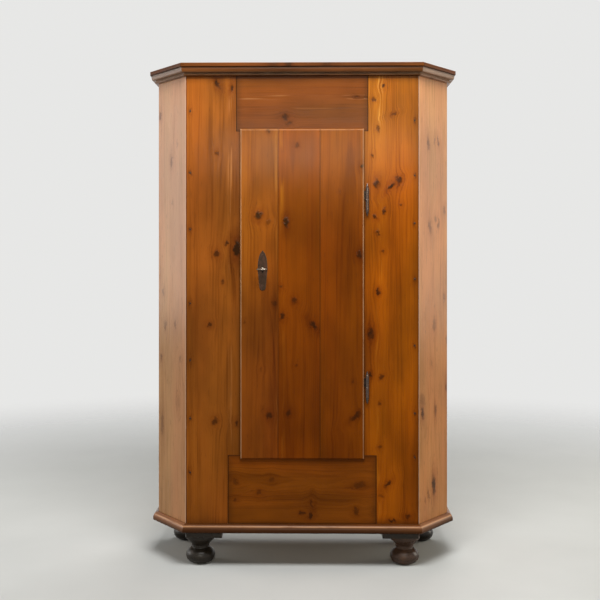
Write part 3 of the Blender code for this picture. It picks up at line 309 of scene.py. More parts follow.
# Floor and world
FLOOR_BOUNCE = (0.32, 0.316, 0.3)
FLOOR_COLOURS = ((0.575, 0.585, 0.565), (0.635, 0.645, 0.625))
FLOOR_SPECKLE, FLOOR_ROUGHNESS, FLOOR_GLOSS = ((3, 3, 3), 3), 0.9, 0.1
FLOOR_FADE, FLOOR_RADIUS, FLOOR_SIDES = (1.6, 4.4), 5.4, 96
BACKGROUND, SKY, SKY_STRENGTH = (0.8, 0.8, 0.79), (0.78, 0.82, 0.9), 0.11

# Lamps: name, place, target, width, height, watts and colour
LAMPS = (
    ("key", (0.1, -1.32, 3), (0.05, 0, 1.5), 1.6, 0.9, 76, (1, 1, 1)),
    ("front", (0.05, -5.2, 2.07), (0, 0, 1.4), 1.75, 0.3, 42, (1, 0.95, 0.8)),
    ("front_high", (0.2, -5.2, 2.6), (0, 0, 1.4), 2.2, 0.4, 12, (1, 0.97, 0.88)),
    ("left", (-3.6, 0.65, 1.52), (-0.45, 0, 1.2), 1.6, 1.7, 45, (1, 0.97, 0.93)),
    ("right", (3.6, 0.65, 1.46), (0.45, 0, 1.2), 1.6, 1.8, 42, (1, 0.92, 0.78)),
    ("behind", (0.8, 3.4, 4.2), (0, 0, 0.6), 2.6, 1.8, 100, (1, 1, 1)),
)


class Tree:
    """Short calls that add nodes to a node tree and link them."""

    def __init__(self, data):
        self.data = data

    def node(self, kind, inputs=(), **settings):
        """A node with its inputs and settings: one of a shader's where the kind names no family."""
        node = self.data.nodes.new(kind if "Node" in kind else "ShaderNode" + kind)
        for name, value in settings.items():
            setattr(node, name, value)
        self.fill(node, inputs)
        return node

    def fill(self, node, inputs):
        """Link or set a node's inputs, given by name or by number."""
        for name, value in dict(inputs).items():
            socket = node.inputs[name]
            if isinstance(value, bpy.types.NodeSocket):
                self.data.links.new(value, socket)
            elif socket.type == "RGBA":
                socket.default_value = (*value, 1)
            else:
                socket.default_value = value

    def math(self, operation, *values):
        """Result of an operation on up to three numbers."""
        return self.node("Math", dict(enumerate(values)), operation=operation).outputs[0]

    def add(self, first, second):
        """Sum of two numbers."""
        return self.math("ADD", first, second)

    def minus(self, first, second):
        """First number less the second."""
        return self.math("SUBTRACT", first, second)

    def times(self, first, second):
        """Product of two numbers."""
        return self.math("MULTIPLY", first, second)

    def vector(self, operation, *values):
        """Result of an operation on vectors."""
        node = self.node("VectorMath", dict(enumerate(values)), operation=operation)
        return node.outputs["Value" if operation in ("DOT_PRODUCT", "LENGTH") else "Vector"]

    def place(self):
        """Place in the frame."""
        return self.node("TexCoord").outputs["Object"]

    def split(self, vector):
        """The three parts of a vector."""
        return self.node("SeparateXYZ", {0: vector}).outputs

    def noise(self, place, stretch, detail, roughness=0.5):
        """Noise from 0 to 1, with stretch as its cells a metre on each axis."""
        scaled = self.vector("MULTIPLY", place, stretch)
        inputs = {"Vector": scaled, "Scale": 1, "Detail": detail, "Roughness": roughness}
        return self.node("TexNoise", inputs).outputs["Fac"]

    def ramp(self, value, low, high, start=0, end=1):
        """Smooth step of a value between low and high, from start to end."""
        inputs = dict(enumerate((value, low, high, start, end)))
        return self.node("MapRange", inputs, interpolation_type="SMOOTHSTEP").outputs[0]

    def layer(self, place, name):
        """One of the pine's layers of noise, through its ramp."""
        stretch, detail, roughness, *steps = PINE_LAYERS[name]
        noise = self.noise(place, stretch, detail, roughness)
        return self.ramp(noise, *steps) if steps else noise

    def mix(self, share, first, second, blend="MIX"):
        """Mix of two colours."""
        inputs = {0: share, 6: first, 7: second}
        node = self.node("Mix", inputs, data_type="RGBA", blend_type=blend, clamp_factor=True)
        return node.outputs[2]

    def tinted(self, colour, tint):
        """Colour times a tint."""
        return self.mix(1, colour, tint, "MULTIPLY")

    def bump(self, height):
        """Normal of a surface raised by a height in metres."""
        return self.node("Bump", {"Strength": 1, "Distance": 1, "Height": height}).outputs[0]

    def total(self, start, *terms):
        """Start value and what is added to it, each term as (value, weight)."""
        for value, weight in terms:
            start = self.add(start, self.times(value, weight))
        return start

    def seen(self):
        """1 for rays that show a surface, 0 for the light that it throws."""
        path = self.node("LightPath").outputs
        direct = self.math("MAXIMUM", path["Is Camera Ray"], path["Is Glossy Ray"])
        return self.math("MAXIMUM", direct, path["Is Transmission Ray"])


def new_group(name, inputs, outputs, kind="Shader"):
    """Tree, inputs and output node of a new group, its sockets given as labels by kind."""
    data = bpy.data.node_groups.new(name, kind + "NodeTree")
    for direction, sockets in (("INPUT", inputs), ("OUTPUT", outputs)):
        for socket, labels in sockets.items():
            for label in labels:
                data.interface.new_socket(label, in_out=direction, socket_type="NodeSocket" + socket)
    tree = Tree(data)
    return tree, tree.node("NodeGroupInput").outputs, tree.node("NodeGroupOutput")


def make_knot_group():
    """One knot: its dark core, the stain around it, and how the grain is pushed aside.

    It passes on the stronger of itself and the knots before it, and pushes the coordinates,
    so that rings and streaks flow round it.
    """
    inputs = {"Vector": ("Coordinates", "Ragged", "Centre"),
              "Float": ("Radius", "Stretch", "Lean", "Strength", "Core", "Halo")}
    tree, source, sink = new_group("knot", inputs, {"Vector": ("Coordinates",), "Float": ("Core", "Halo")})
    torn = tree.vector("ADD", source["Coordinates"], source["Ragged"])
    from_centre = tree.vector("MULTIPLY", tree.vector("SUBTRACT", torn, source["Centre"]), (1, 0, 1))
    turned = tree.node("VectorRotate", {"Vector": from_centre, "Angle": source["Lean"]},
                       rotation_type="Y_AXIS").outputs[0]
    parts = tree.split(turned)
    across = tree.math("DIVIDE", parts[0], source["Radius"])
    along = tree.math("DIVIDE", tree.math("DIVIDE", parts[2], source["Radius"]), source["Stretch"])
    squared = tree.add(tree.math("POWER", across, 2), tree.math("POWER", along, 2))

    def bell(spread):
        """1 at the centre, falling away over so many radii."""
        return tree.math("EXPONENT", tree.times(squared, -1 / spread ** 2))

    core = tree.times(tree.ramp(tree.math("SQRT", squared), *CORE_STEPS), source["Strength"])
    halo = tree.times(bell(STAIN_SPREAD), source["Strength"])
    inputs = {0: from_centre, "Scale": tree.times(bell(PUSH_SPREAD), PUSH)}
    push = tree.node("VectorMath", inputs, operation="SCALE").outputs[0]
    tree.fill(sink, {"Coordinates": tree.vector("ADD", source["Coordinates"], push),
                     "Core": tree.math("MAXIMUM", core, source["Core"]),
                     "Halo": tree.math("MAXIMUM", halo, source["Halo"])})
    return tree.data


def growth_rings(tree, source, place):
    """Share of late wood, in rings about the pith."""
    wander = tree.times(tree.minus(tree.layer(place, "wander"), 0.5), WANDER)
    jitter = tree.times(tree.minus(tree.layer(place, "jitter"), 0.5), JITTER)
    pith, spot = tree.split(source["Pith"]), tree.split(source["Coordinates"])
    pith_depth = tree.math("MULTIPLY_ADD", pith[2], spot[2], pith[1])
    sideways = tree.math("POWER", tree.minus(spot[0], pith[0]), 2)
    inward = tree.math("POWER", tree.minus(spot[1], pith_depth), 2)
    from_pith = tree.math("SQRT", tree.add(sideways, inward))
    rings = tree.math("DIVIDE", tree.add(from_pith, tree.add(wander, jitter)), RING_WIDTH)
    share = tree.math("FRACT", rings)
    late = tree.times(tree.ramp(share, *LATE_RISE), tree.ramp(share, *LATE_FALL))
    year = tree.math("FLOOR", tree.add(rings, source["Seed"]))
    strength = tree.node("TexWhiteNoise", {"W": year}, noise_dimensions="1D").outputs[0]
    return tree.times(late, tree.ramp(strength, *YEARS))


def wood_colour(tree, source, place, tone, blotch, fleck):
    """Colour of the wood with its blotches, pale bands, flecks, stains and knots."""
    early = tree.mix(source["Bare"], source["Early"], BARE_WOOD[0])
    late = tree.mix(source["Bare"], source["Late"], BARE_WOOD[1])
    colour = tree.mix(tree.ramp(tone, *TONE_STEPS), early, late)
    shade = tree.math("MULTIPLY_ADD", tree.ramp(blotch, *BLOTCH_STEPS), source["Blotch"], 1)
    grey = tree.node("CombineColor", {0: shade, 1: shade, 2: shade}).outputs[0]
    colour = tree.tinted(colour, grey)
    colour = tree.tinted(colour, tree.mix(tree.layer(place, "drift"), REDDER, GOLDEN))
    streaks = tree.times(tree.layer(place, "pale line"), tree.layer(place, "flame"))
    colour = tree.mix(tree.times(streaks, source["Band"]), colour, tree.tinted(early, BAND_TINT))
    colour = tree.mix(tree.times(fleck, FLECK_SHARE), colour, FLECK_DARK)
    colour = tree.mix(source["Halo"], colour, tree.tinted(colour, STAIN_TINT))
    return tree.mix(tree.times(source["Core"], tree.layer(place, "mottle")), colour, source["Knot"])


def make_pine_group():
    """Colour, roughness and height of a sawn board."""
    inputs = {"Vector": ("Coordinates", "Pith"), "Color": ("Early", "Late", "Knot"),
              "Float": ("Seed", "Bare", "Core", "Halo", "Band", "Blotch", "Grain")}
    tree, source, sink = new_group("pine", inputs, {"Color": ("Color",), "Float": ("Roughness", "Height")})
    place = tree.vector("ADD", source["Coordinates"], tree.vector("MULTIPLY", source["Seed"], SEED_STEP))
    late = growth_rings(tree, source, place)
    streak, sweep, fibre, blotch, fleck = (tree.layer(place, name) for name in
                                           ("streak", "sweep", "fibre", "blotch", "fleck"))

    tone = tree.times(late, RING_WEIGHT)
    for noise, middle, weight in ((streak, *STREAK_TONE), (sweep, *SWEEP_TONE), (fibre, *FIBRE_TONE),
                                  (tree.layer(place, "grain"), 0.5, source["Grain"])):
        tone = tree.total(tone, (tree.minus(noise, middle), weight))
    colour = wood_colour(tree, source, place, tone, blotch, fleck)
    rough = tree.ramp(blotch, *ROUGH_STEPS)
    rough = tree.total(rough, (fibre, FIBRE_ROUGH), (source["Bare"], BARE_ROUGH))
    height = tree.times(tree.layer(place, "planed"), PLANED_RELIEF)
    height = tree.total(height, (late, RING_RELIEF), (fibre, FIBRE_RELIEF), (source["Core"], KNOT_RELIEF))
    tree.fill(sink, {"Color": colour, "Roughness": rough, "Height": height})
    return tree.data


def make_smooth_group():
    """Geometry nodes that shade all but sharp edges smooth."""
    mesh = {"Geometry": ("Geometry",)}
    tree, source, sink = new_group("smooth_by_angle", mesh, mesh, "Geometry")
    angle = tree.node("GeometryNodeInputMeshEdgeAngle").outputs["Unsigned Angle"]
    sharp = tree.node("FunctionNodeCompare", {"A": angle, "B": SMOOTH_ANGLE}, operation="GREATER_THAN")
    inputs = {"Mesh": source[0], "Remove Custom": True, "Edge Sharpness": sharp.outputs[0],
              "Face Sharpness": False}
    tree.fill(sink, {0: tree.node("GeometryNodeSetMeshNormal", inputs).outputs[0]})
    return tree.data


KNOT_GROUP = make_knot_group()
PINE_GROUP = make_pine_group()
SMOOTH_GROUP = make_smooth_group()


def new_material(name):
    """New material, its tree and its shader."""
    material = bpy.data.materials.new(name)
    material.use_nodes = True
    return material, Tree(material.node_tree), material.node_tree.nodes["Principled BSDF"]


def board_coordinates(tree, along, across):
    """Place on a board as (across, depth, along)."""
    place = tree.place()
    parts = [tree.vector("DOT_PRODUCT", place, tuple(row)) for row in (across, along.cross(across), along)]
    return tree.node("CombineXYZ", dict(enumerate(parts))).outputs[0]


def edge_wear(tree, radius):
    """1 on outer edges within a radius, 0 on flats."""
    bevel = tree.node("Bevel", {"Radius": radius}, samples=SAMPLES).outputs[0]
    true = tree.node("NewGeometry").outputs["Normal"]
    return tree.ramp(tree.vector("DOT_PRODUCT", bevel, true), *WORN_STEPS)


def crevice(tree, distance):
    """1 deep in a corner, as ambient occlusion finds it, 0 in the open."""
    occlusion = tree.node("AmbientOcclusion", {"Distance": distance}, samples=SAMPLES)
    return tree.ramp(occlusion.outputs["AO"], *DIRTY_STEPS)


def strongest(tree, peaks):
    """Strongest of some bell-shaped peaks, each (place, centre, half width, strength)."""
    band = 0
    for place, centre, half, strength in peaks:
        bell = tree.math("POWER", tree.math("DIVIDE", tree.minus(place, centre), half), 2)
        bell = tree.math("EXPONENT", tree.times(bell, -1))
        band = tree.math("MAXIMUM", tree.times(bell, strength), band)
    return band


def side_band(tree, distances, strengths, centre, half):
    """Bands along those of a board's four sides that have a strength."""
    return strongest(tree, [(distance, centre, half, strength)
                            for distance, strength in zip(distances, strengths) if strength])


def add_knots(tree, place, knots):
    """Coordinates pushed aside by a chain of knots, the knots' cores and their stains."""
    ragged = tree.node("TexNoise", {"Vector": place, **RAGGED}).outputs["Color"]
    ragged = tree.vector("MULTIPLY", tree.vector("SUBTRACT", ragged, (0.5, 0.5, 0.5)), RAGGED_REACH)
    core, halo = 0, 0
    for across, along, radius, stretch, strength, *lean in knots:
        inputs = {"Coordinates": place, "Ragged": ragged, "Radius": radius / PER_METRE,
                  "Centre": (across / PER_METRE, 0, along / PER_METRE), "Stretch": stretch,
                  "Lean": lean[0] if lean else 0, "Strength": strength, "Core": core, "Halo": halo}
        node = tree.node("Group", inputs, node_tree=KNOT_GROUP)
        place, core, halo = (node.outputs[label] for label in ("Coordinates", "Core", "Halo"))
    return place, core, halo


def pine(name, along, across, colours, look, seed, pith, extent, knots, bare_from):
    """Material of one board: extent is its box as (across low, high, along low, high)."""
    material, tree, shader = new_material(name)
    place = board_coordinates(tree, along, across)
    parts = tree.split(place)
    pushed, core, halo = add_knots(tree, place, knots)
    bare = look["bare"]
    if bare is None:
        bare = tree.ramp(parts[1], bare_from, bare_from + BARE_EDGE)
    finished = tree.minus(1, bare)
    band = 0
    if look["bands"]:
        fade = tree.ramp(parts[2], *look["band_levels"], look["band_low"], 1)
        band = strongest(tree, [(parts[0], *streak) for streak in look["bands"]])
        band = tree.times(tree.times(band, fade), finished)
    inputs = {"Coordinates": pushed, "Pith": pith, "Early": colours[0], "Late": colours[1],
              "Knot": look["knot"], "Seed": seed, "Bare": bare, "Core": core, "Halo": halo,
              "Band": band, "Blotch": look["blotch"], "Grain": look["grain"]}
    board = tree.node("Group", inputs, node_tree=PINE_GROUP).outputs
    distances = (tree.minus(parts[0], extent[0]), tree.minus(extent[1], parts[0]),
                 tree.minus(parts[2], extent[2]), tree.minus(extent[3], parts[2]))

    colour = tree.mix(tree.times(edge_wear(tree, ARRIS), ARRIS_WEAR), board["Color"], colours[0])
    # Painted sheen: the colour lightens towards the board's top
    if look["pale_top"]:
        *levels, tint = look["pale_top"]
        share = tree.times(tree.ramp(parts[2], *levels), finished)
        colour = tree.mix(share, colour, tree.tinted(colour, tint))
    # Painted highlight: a pale line along chosen edges, broken into patches
    if any(look["rub"]):
        uneven = tree.layer(place, "rubbed")
        rubbed = tree.times(side_band(tree, distances, look["rub"], *look["rub_place"]), uneven)
        colour = tree.mix(tree.times(rubbed, finished), colour, look["rub_colour"])
    # Seams darken joints and, on the base moulding, paint shade; grime darkens as grime and as painted shade
    for kind in ("seam", "grime"):
        if any(look[kind]):
            share = side_band(tree, distances, look[kind], 0, look[kind + "_width"])
            colour = tree.mix(share, colour, KNOT_DARK)
    # Painted shade and dirt: corners found by ambient occlusion darken towards the dark knot colour
    dirt = tree.times(crevice(tree, DIRT_REACH), look["dirt"])
    rough = tree.add(tree.total(board["Roughness"], (dirt, DIRT_ROUGH)), look["roughness"])
    tree.fill(shader, {"Base Color": tree.mix(dirt, colour, KNOT_DARK), "Roughness": rough,
                       "Specular IOR Level": look["gloss"], "Normal": tree.bump(board["Height"])})
    return material


def dress(name, material, width):
    """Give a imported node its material, closed edges, rounded arrises and smooth shading."""
    piece = NODES[name]
    for slot in piece.material_slots:
        slot.link = "OBJECT"
        slot.material = material
    piece.modifiers.new("close", "WELD").merge_threshold = WELD_DISTANCE
    bevel = piece.modifiers.new("round", "BEVEL")
    bevel.width = width
    bevel.segments = ROUND_STEPS
    bevel.limit_method = "ANGLE"
    bevel.angle_limit = SMOOTH_ANGLE
    piece.modifiers.new("smooth", "NODES").node_group = SMOOTH_GROUP
    piece.modifiers.new("even", "WEIGHTED_NORMAL").keep_sharp = True


def dress_board(name, along, across, colours, seed, pith=PITH, knots=None, width=BOARD_ROUND, **look):
    """Dress a node as a board, its pith given as (across, depth, slope) from its outer face's middle."""
    along, across = Vector(along).normalized(), Vector(across).normalized()
    points = [vertex.co for vertex in NODES[name].data.vertices]
    spans = []
    for direction in (across, along.cross(across), along):
        places = [point.dot(direction) for point in points]
        spans.append((min(places), max(places)))
    placed_pith = (sum(spans[0]) / 2 + pith[0], spans[1][0] + pith[1], pith[2])
    knots = KNOTS.get(name, ()) if knots is None else knots
    material = pine(name + "_pine", along, across, colours, {**PLAIN_LOOK, **look}, seed, placed_pith,
                    (*spans[0], *spans[2]), knots, spans[1][1] - BARE_SKIN)
    dress(name, material, width)


def dress_front():
    """Stiles and rails of the front frame."""
    # Painted shade: the stiles darken beside the door's lip and the bottom rail along its top under the door;
    # the other bands darken ends, bottoms and the right stile's outer edge
    dress_board("front_stile_left", UP, RIGHT, LEFT_STILE, 1, (0.06, 0.07, 0.02),
                bands=((-0.262, 0.01, 0.7),), band_levels=(1.2, 1.5), band_low=0.35,
                seam=(0.7, 0, 0, 0), grime=(0, 0.8, 0.3, 0), dirt=0.1)
    # The right stile's top is lightened with a painted sheen
    dress_board("front_stile_right", UP, RIGHT, STILE, 2, (-0.04, 0.055, -0.015),
                bands=((0.282, 0.012, 1),), band_levels=(0.95, 1.2), band_low=0.3,
                seam=(0, 0.45, 0, 0), grime=(0.8, 0.35, 0.5, 0), dirt=0.1,
                pale_top=(1.35, 1.65, STILE_PALER))
    dress_board("top_rail", RIGHT, DOWN, TOP_RAIL, 3, (0.01, 0.08, 0.01), seam=RAIL_SEAM,
                bands=((-1.735, 0.0035, 1), (-1.722, 0.003, 0.9), (-1.685, 0.004, 0.4)),
                grime=(0, 0, 0.4, 0.4), dirt=0.1)
    dress_board("bottom_rail", RIGHT, DOWN, LOW_RAIL, 4, (-0.04, 0.06, 0.02), seam=RAIL_SEAM,
                grime=(0.45, 0, 0.4, 0.4), grain=0.4)


def dress_walls():
    """Canted corners, sides and back."""
    # The cants take a painted highlight along their front arris and a painted sheen towards their tops
    dress_board("cant_board_left", UP, LEFT_RUN, LEFT_CANT, 5, blotch=0.12, grain=1.9,
                pale_top=(0.65, 1.1, LEFT_CANT_PALER), rub=(0, 0.6, 0, 0), **CANT_LOOK)
    dress_board("cant_board_right", UP, RIGHT_RUN, CANT, 6, blotch=0.16, grain=2.5,
                pale_top=(0.65, 1.1, CANT_PALER), rub=(0.6, 0, 0, 0), **CANT_LOOK)
    dress_board("side_board_left", UP, FRONT, CANT, 7, (0.02, 0.08, 0.03), **SIDE_LOOK)
    dress_board("side_board_right", UP, BACK, CANT, 8, (-0.03, 0.07, 0.02), **SIDE_LOOK)
    for number, spots in zip(BACK_BOARDS, BACK_KNOTS):
        name = f"back_board_{number}"
        low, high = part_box(name)
        knots = [(PER_METRE * between(low.x, high.x, share), z, radius, *BACK_KNOT_SHAPE)
                 for share, z, radius in spots]
        dress_board(name, UP, RIGHT, CANT, 8 + number, (0.02 * number - 0.05, 0.09, 0.03), knots,
                    bare=1, blotch=0.13)


def dress_inside():
    """Top, bottom, shelves and cleats."""
    edge = PER_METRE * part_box("top_board_front")[0].y
    stains = [(edge, x, TOP_STAIN, stretch, strength) for x, stretch, strength in TOP_STAINS]
    for seed, name in ((14, "top_board_front"), (15, "top_board_rear")):
        dress_board(name, RIGHT, BACK, TOP_BOARD, seed, (0, 0.08, 0.03), stains, bare=0,
                    roughness=0.16)
    for seed, name in ((16, "bottom_board_front"), (17, "bottom_board_rear")):
        dress_board(name, RIGHT, BACK, CANT, seed, (0, 0.08, 0.03), bare=1)
    for number in SHELVES:
        dress_board(f"shelf_{number}", RIGHT, BACK, CANT, 17 + number, (0.05, -0.09, 0.03), bare=1)
        for side in ("left", "right"):
            dress_board(f"shelf_cleat_{number}_{side}", BACK, UP, CANT, 21 + number,
                        (0, 0.09, 0.03), bare=1)


def dress_mouldings():
    """Cornice and base moulding in five lengths each."""
    runs = {"front": RIGHT, "cant_left": LEFT_RUN, "cant_right": RIGHT_RUN,
            "side_left": FRONT, "side_right": BACK}
    # Cornice: a painted highlight on its lower bead and painted shade along its top. Base moulding: a painted
    # highlight along its top round and painted shade over its lower part.
    cornice = {"rub": (0, 0.45, 0, 0), "rub_place": (0.0085, 0.004), "dirt": 0.12,
               "grime": (0.55, 0, 0, 0), "grime_width": 0.007}
    base = {"rub": (0.8, 0, 0, 0), "rub_place": (0.0076, 0.0026), "rub_colour": BASE_ARRIS,
            "seam": (0, 0.85, 0, 0), "seam_width": 0.013, "dirt": 0.95}
    seed = 30
    for kind, sides, look in (("cornice", SIDE_CORNICE, cornice), ("base_moulding", SIDE_BASE, base)):
        for run, along in runs.items():
            seed += 1
            colours = MOULDING if run == "front" else sides
            dress_board(f"{kind}_{run}", along, DOWN, colours, seed, (0.02, 0.03, 0.01),
                        KNOTS.get(kind, ()), MOULDING_ROUND, **MOULDING_LOOK, **look)


def dress_door():
    """Three upright boards and two battens."""
    # Painted highlights along the door's lip, on its left, right and top edges, and a painted sheen towards
    # each board's top
    dress_board("door_board_left", UP, RIGHT, LEFT_DOOR, 40, (0.02, 0.07, 0.02), width=DOOR_ROUND,
                bands=((-0.096, 0.006, 0.4),), rub=(0.9, 0, 0, 0.45), seam=(0, 0.3, 0, 0),
                pale_top=(0.7, 1.4, LEFT_DOOR_PALER), grain=0.8)
    dress_board("door_board_middle", UP, RIGHT, DOOR, 41, (-0.02, 0.06, -0.02), width=DOOR_ROUND,
                bands=((-0.075, 0.009, 0.45),), rub=(0, 0, 0, 0.45), seam=(0.3, 0.4, 0, 0),
                pale_top=(1.15, 1.5, DOOR_PALER), grain=0.3)
    dress_board("door_board_right", UP, RIGHT, RIGHT_DOOR, 42, (0.03, 0.07, 0.02), width=DOOR_ROUND,
                rub=(0, 0.8, 0, 0.45), seam=(0.4, 0, 0, 0),
                pale_top=(1.15, 1.5, RIGHT_DOOR_PALER), grain=0.9)
    for seed, level in ((43, "lower"), (44, "upper")):
        dress_board("door_batten_" + level, RIGHT, DOWN, DOOR, seed, (0.01, 0.05, 0.01), bare=1)


def iron(name, kind, leaf_edge=None, dents=FORGED_DENTS):
    """Forged iron with a brown skin, worn bright on its edges, and a painted shadow to the left of leaf_edge.
    """
    dark, bright, rough = kind
    material, tree, shader = new_material(name)
    place = tree.place()
    patches, pits, hammered = (tree.noise(place, *noise) for noise in (IRON_PATCHES, PITS, HAMMERED))
    worn = edge_wear(tree, IRON_ARRIS)
    dirt = tree.times(crevice(tree, IRON_DIRT_REACH), IRON_DIRT)
    colour = tree.mix(tree.ramp(patches, *RUST_STEPS), dark, RUST)
    colour = tree.mix(tree.times(tree.add(worn, BRIGHT_ALL_OVER), BRIGHT_SHARE), colour, bright)
    if leaf_edge is not None:
        across = tree.split(place)[0]
        # Painted shadow on the hinge leaf, in the gap beside the barrel
        sooty = tree.ramp(across, leaf_edge, leaf_edge - SOOTY_EDGE, 0, SOOTY_SHARE)
        dirt = tree.math("MAXIMUM", dirt, sooty)
    patchy = tree.ramp(patches, *PATCH_STEPS, rough, rough + DULLER)
    height = tree.total(tree.times(hammered, dents), (pits, PIT_SHARE * dents))
    tree.fill(shader, {"Base Color": tree.mix(dirt, colour, SOOT), "Normal": tree.bump(height),
                       "Roughness": tree.total(patchy, (worn, SMOOTHER)),
                       "Metallic": tree.ramp(patches, *METAL_STEPS)})
    return material


def dress_iron():
    """Hinges, lock, escutcheon and key."""
    forged = iron("forged_iron", FORGED)
    handled = iron("handled_iron", HANDLED)
    leaf_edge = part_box("hinge_pintle_upper")[0].x + SOOTY_EDGE
    polished = iron("rubbed_iron", HINGE_IRON, leaf_edge, HINGE_DENTS)
    plate = iron("plate_iron", PLATE_IRON)
    for level in ("lower", "upper"):
        dress("hinge_pintle_" + level, polished, IRON_ROUND)
        dress("hinge_knuckle_" + level, polished, IRON_ROUND)
    for name in ("lock_strike", "lock_case", "lock_bolt"):
        dress(name, forged, LOCK_ROUND)
    dress("escutcheon", plate, IRON_ROUND)
    dress("key", handled, IRON_ROUND)


def painted_wood(name, kind):
    """Dark paint on the feet, worn through to brown wood where the cover is low."""
    paint, wood, cover = kind
    material, tree, shader = new_material(name)
    place = tree.place()
    patches, brushed = tree.noise(place, *PAINT_PATCHES), tree.noise(place, *BRUSHED)
    worn = edge_wear(tree, PAINT_ARRIS)
    bare = tree.ramp(tree.add(patches, tree.times(worn, PAINT_WEAR)), cover, cover + PAINT_EDGE)
    thin = tuple(THIN_PAINT * channel for channel in paint)
    colour = tree.mix(tree.ramp(brushed, *PATCH_STEPS), paint, thin)
    height = tree.total(tree.times(bare, PAINT_THICKNESS), (brushed, BRUSH_RELIEF))
    tree.fill(shader, {"Base Color": tree.mix(tree.times(bare, BARE_SHARE), colour, wood),
                       "Roughness": tree.ramp(patches, *PAINT_ROUGH), "Specular IOR Level": PAINT_GLOSS,
                       "Normal": tree.bump(height)})
    return material


def new_object(name, data):
    """Object with its data, in the scene."""
    thing = bpy.data.objects.new(name, data)
    bpy.context.collection.objects.link(thing)
    return thing


def mesh_object(name, bm, material):
    """Object made of a bmesh and a material."""
    mesh = bpy.data.meshes.new(name)
    bm.to_mesh(mesh)
    bm.free()
    mesh.materials.append(material)
    return new_object(name, mesh)


def new_piece(name, bm, material, body):
    """Piece made of a bmesh, riding on a body."""
    bmesh.ops.recalc_face_normals(bm, faces=bm.faces)
    piece = mesh_object(name, bm, material)
    piece.modifiers.new("smooth", "NODES").node_group = SMOOTH_GROUP
    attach(piece, body)
    return piece


def bridge(bm, rings, sides):
    """Faces between each ring of vertices and the next, where a ring may be a single vertex."""
    for lower, upper in zip(rings, rings[1:]):
        for i in range(sides):
            j = (i + 1) % sides
            unique = list(dict.fromkeys((lower[i % len(lower)], lower[j % len(lower)],
                                         upper[j % len(upper)], upper[i % len(upper)])))
            if len(unique) > 2:
                bm.faces.new(unique)


def lathe(bm, profile, place, sides):
    """Turned body from (radius, height) points, the first and the last on the axis."""
    rings = []
    for radius, height in profile:
        angles = [2 * pi * i / sides for i in range(sides)] if radius > 0 else [0]
        rings.append([bm.verts.new(place @ Vector((radius * cos(a), radius * sin(a), height)))
                      for a in angles])
    bridge(bm, rings, sides)


def catmull(points, steps):
    """Smooth run of points through the given ones."""
    ends = [points[0]] + list(points) + [points[-1]]
    run = []
    for before, start, end, after in zip(ends, ends[1:], ends[2:], ends[3:]):
        for step in range(steps):
            t = step / steps
            run.append(tuple(0.5 * (2 * b + (c - a) * t + (2 * a - 5 * b + 4 * c - d) * t * t
                                    + (3 * b - a - 3 * c + d) * t ** 3)
                             for a, b, c, d in zip(before, start, end, after)))
    run.append(tuple(points[-1]))
    return run


def foot_profile():
    """Ball, neck, collar, flaring cup and rounded rim of a foot, as (radius, z)."""
    profile = list(SOLE)
    for i in range(1, BALL_STEPS + 1):
        angle = BALL_LOW + (BALL_HIGH - BALL_LOW) * i / BALL_STEPS
        profile.append((BALL_RADIUS * cos(angle), BALL_Z + BALL_HALF * sin(angle)))
    profile += NECK
    profile += catmull(CUP, CUP_STEPS)
    for z, start, sweep in RIM_ARCS:
        for i in range(RIM_STEPS + 1):
            angle = start + sweep * i / RIM_STEPS
            profile.append((RIM_RADIUS + RIM_ROUND * cos(angle), z + RIM_ROUND * sin(angle)))
    return profile + SPIGOT


def make_feet():
    """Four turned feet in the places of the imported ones."""
    black = painted_wood("foot_paint", BLACK_PAINT)
    brown = painted_wood("foot_paint_worn", BROWN_PAINT)
    for index, corner in enumerate(CORNERS):
        dress("foot_block_" + corner, black, BLOCK_ROUND)
        low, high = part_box("foot_" + corner)
        bm = bmesh.new()
        place = Matrix.Translation(((low.x + high.x) / 2, (low.y + high.y) / 2, 0))
        lathe(bm, foot_profile(), place @ Matrix.Rotation(FOOT_TURN * index, 4, "Z"), FOOT_SIDES)
        paint = brown if corner == "front_right" else black
        foot = new_piece("turned_foot_" + corner, bm, paint, "carcase")
        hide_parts("foot_" + corner)


def facing(place, outward, turn):
    """Frame at a place whose own Z points outward, turned about it."""
    aim = Vector(outward).to_track_quat("Z", "Y").to_matrix().to_4x4()
    return Matrix.Translation(place) @ aim @ Matrix.Rotation(turn, 4, "Z")


def nails(name, places, outward, size, material, body):
    """Forged nail heads as one piece: low uneven domes with their rims under the surface."""
    radius, rise = size
    profile = [(0, -NAIL_SINK), (radius, -NAIL_SINK)]
    profile += [(across * radius, height * rise) for across, height in NAIL_DOME]
    bm = bmesh.new()
    for place in places:
        at = facing(place, outward, NAIL_TURN * sum(place)) @ Matrix.Diagonal((1, NAIL_OVAL, 1, 1))
        lathe(bm, profile, at, NAIL_SIDES)
    new_piece(name, bm, material, body)


def screw_head(bm, place, outward, size, turn):
    """Slotted screw head: a flat disc with two raised halves."""
    radius, rise = size
    at = facing(place, outward, turn)
    floor = SCREW_FLOOR * rise
    lathe(bm, [(0, -SCREW_SINK), (radius, -SCREW_SINK), (radius, floor), (0, floor)], at, SCREW_SIDES)
    start, slot = SCREW_SLOT, SCREW_SLOT * radius
    angles = [start + (pi - 2 * start) * i / SCREW_STEPS for i in range(SCREW_STEPS + 1)]
    for side in (1, -1):
        outlines = []
        for shrink, height in SCREW_HALF:
            reach = shrink * radius
            points = [Vector((reach * cos(a), max(reach * sin(a), slot), side * height * rise)) * side
                      for a in angles]
            outlines.append([bm.verts.new(at @ point) for point in points])
        bridge(bm, outlines, len(angles))
        bm.faces.new(outlines[0])
        bm.faces.new(outlines[-1])


def between(low, high, share):
    """Number at a share of the way from low to high."""
    return low + share * (high - low)


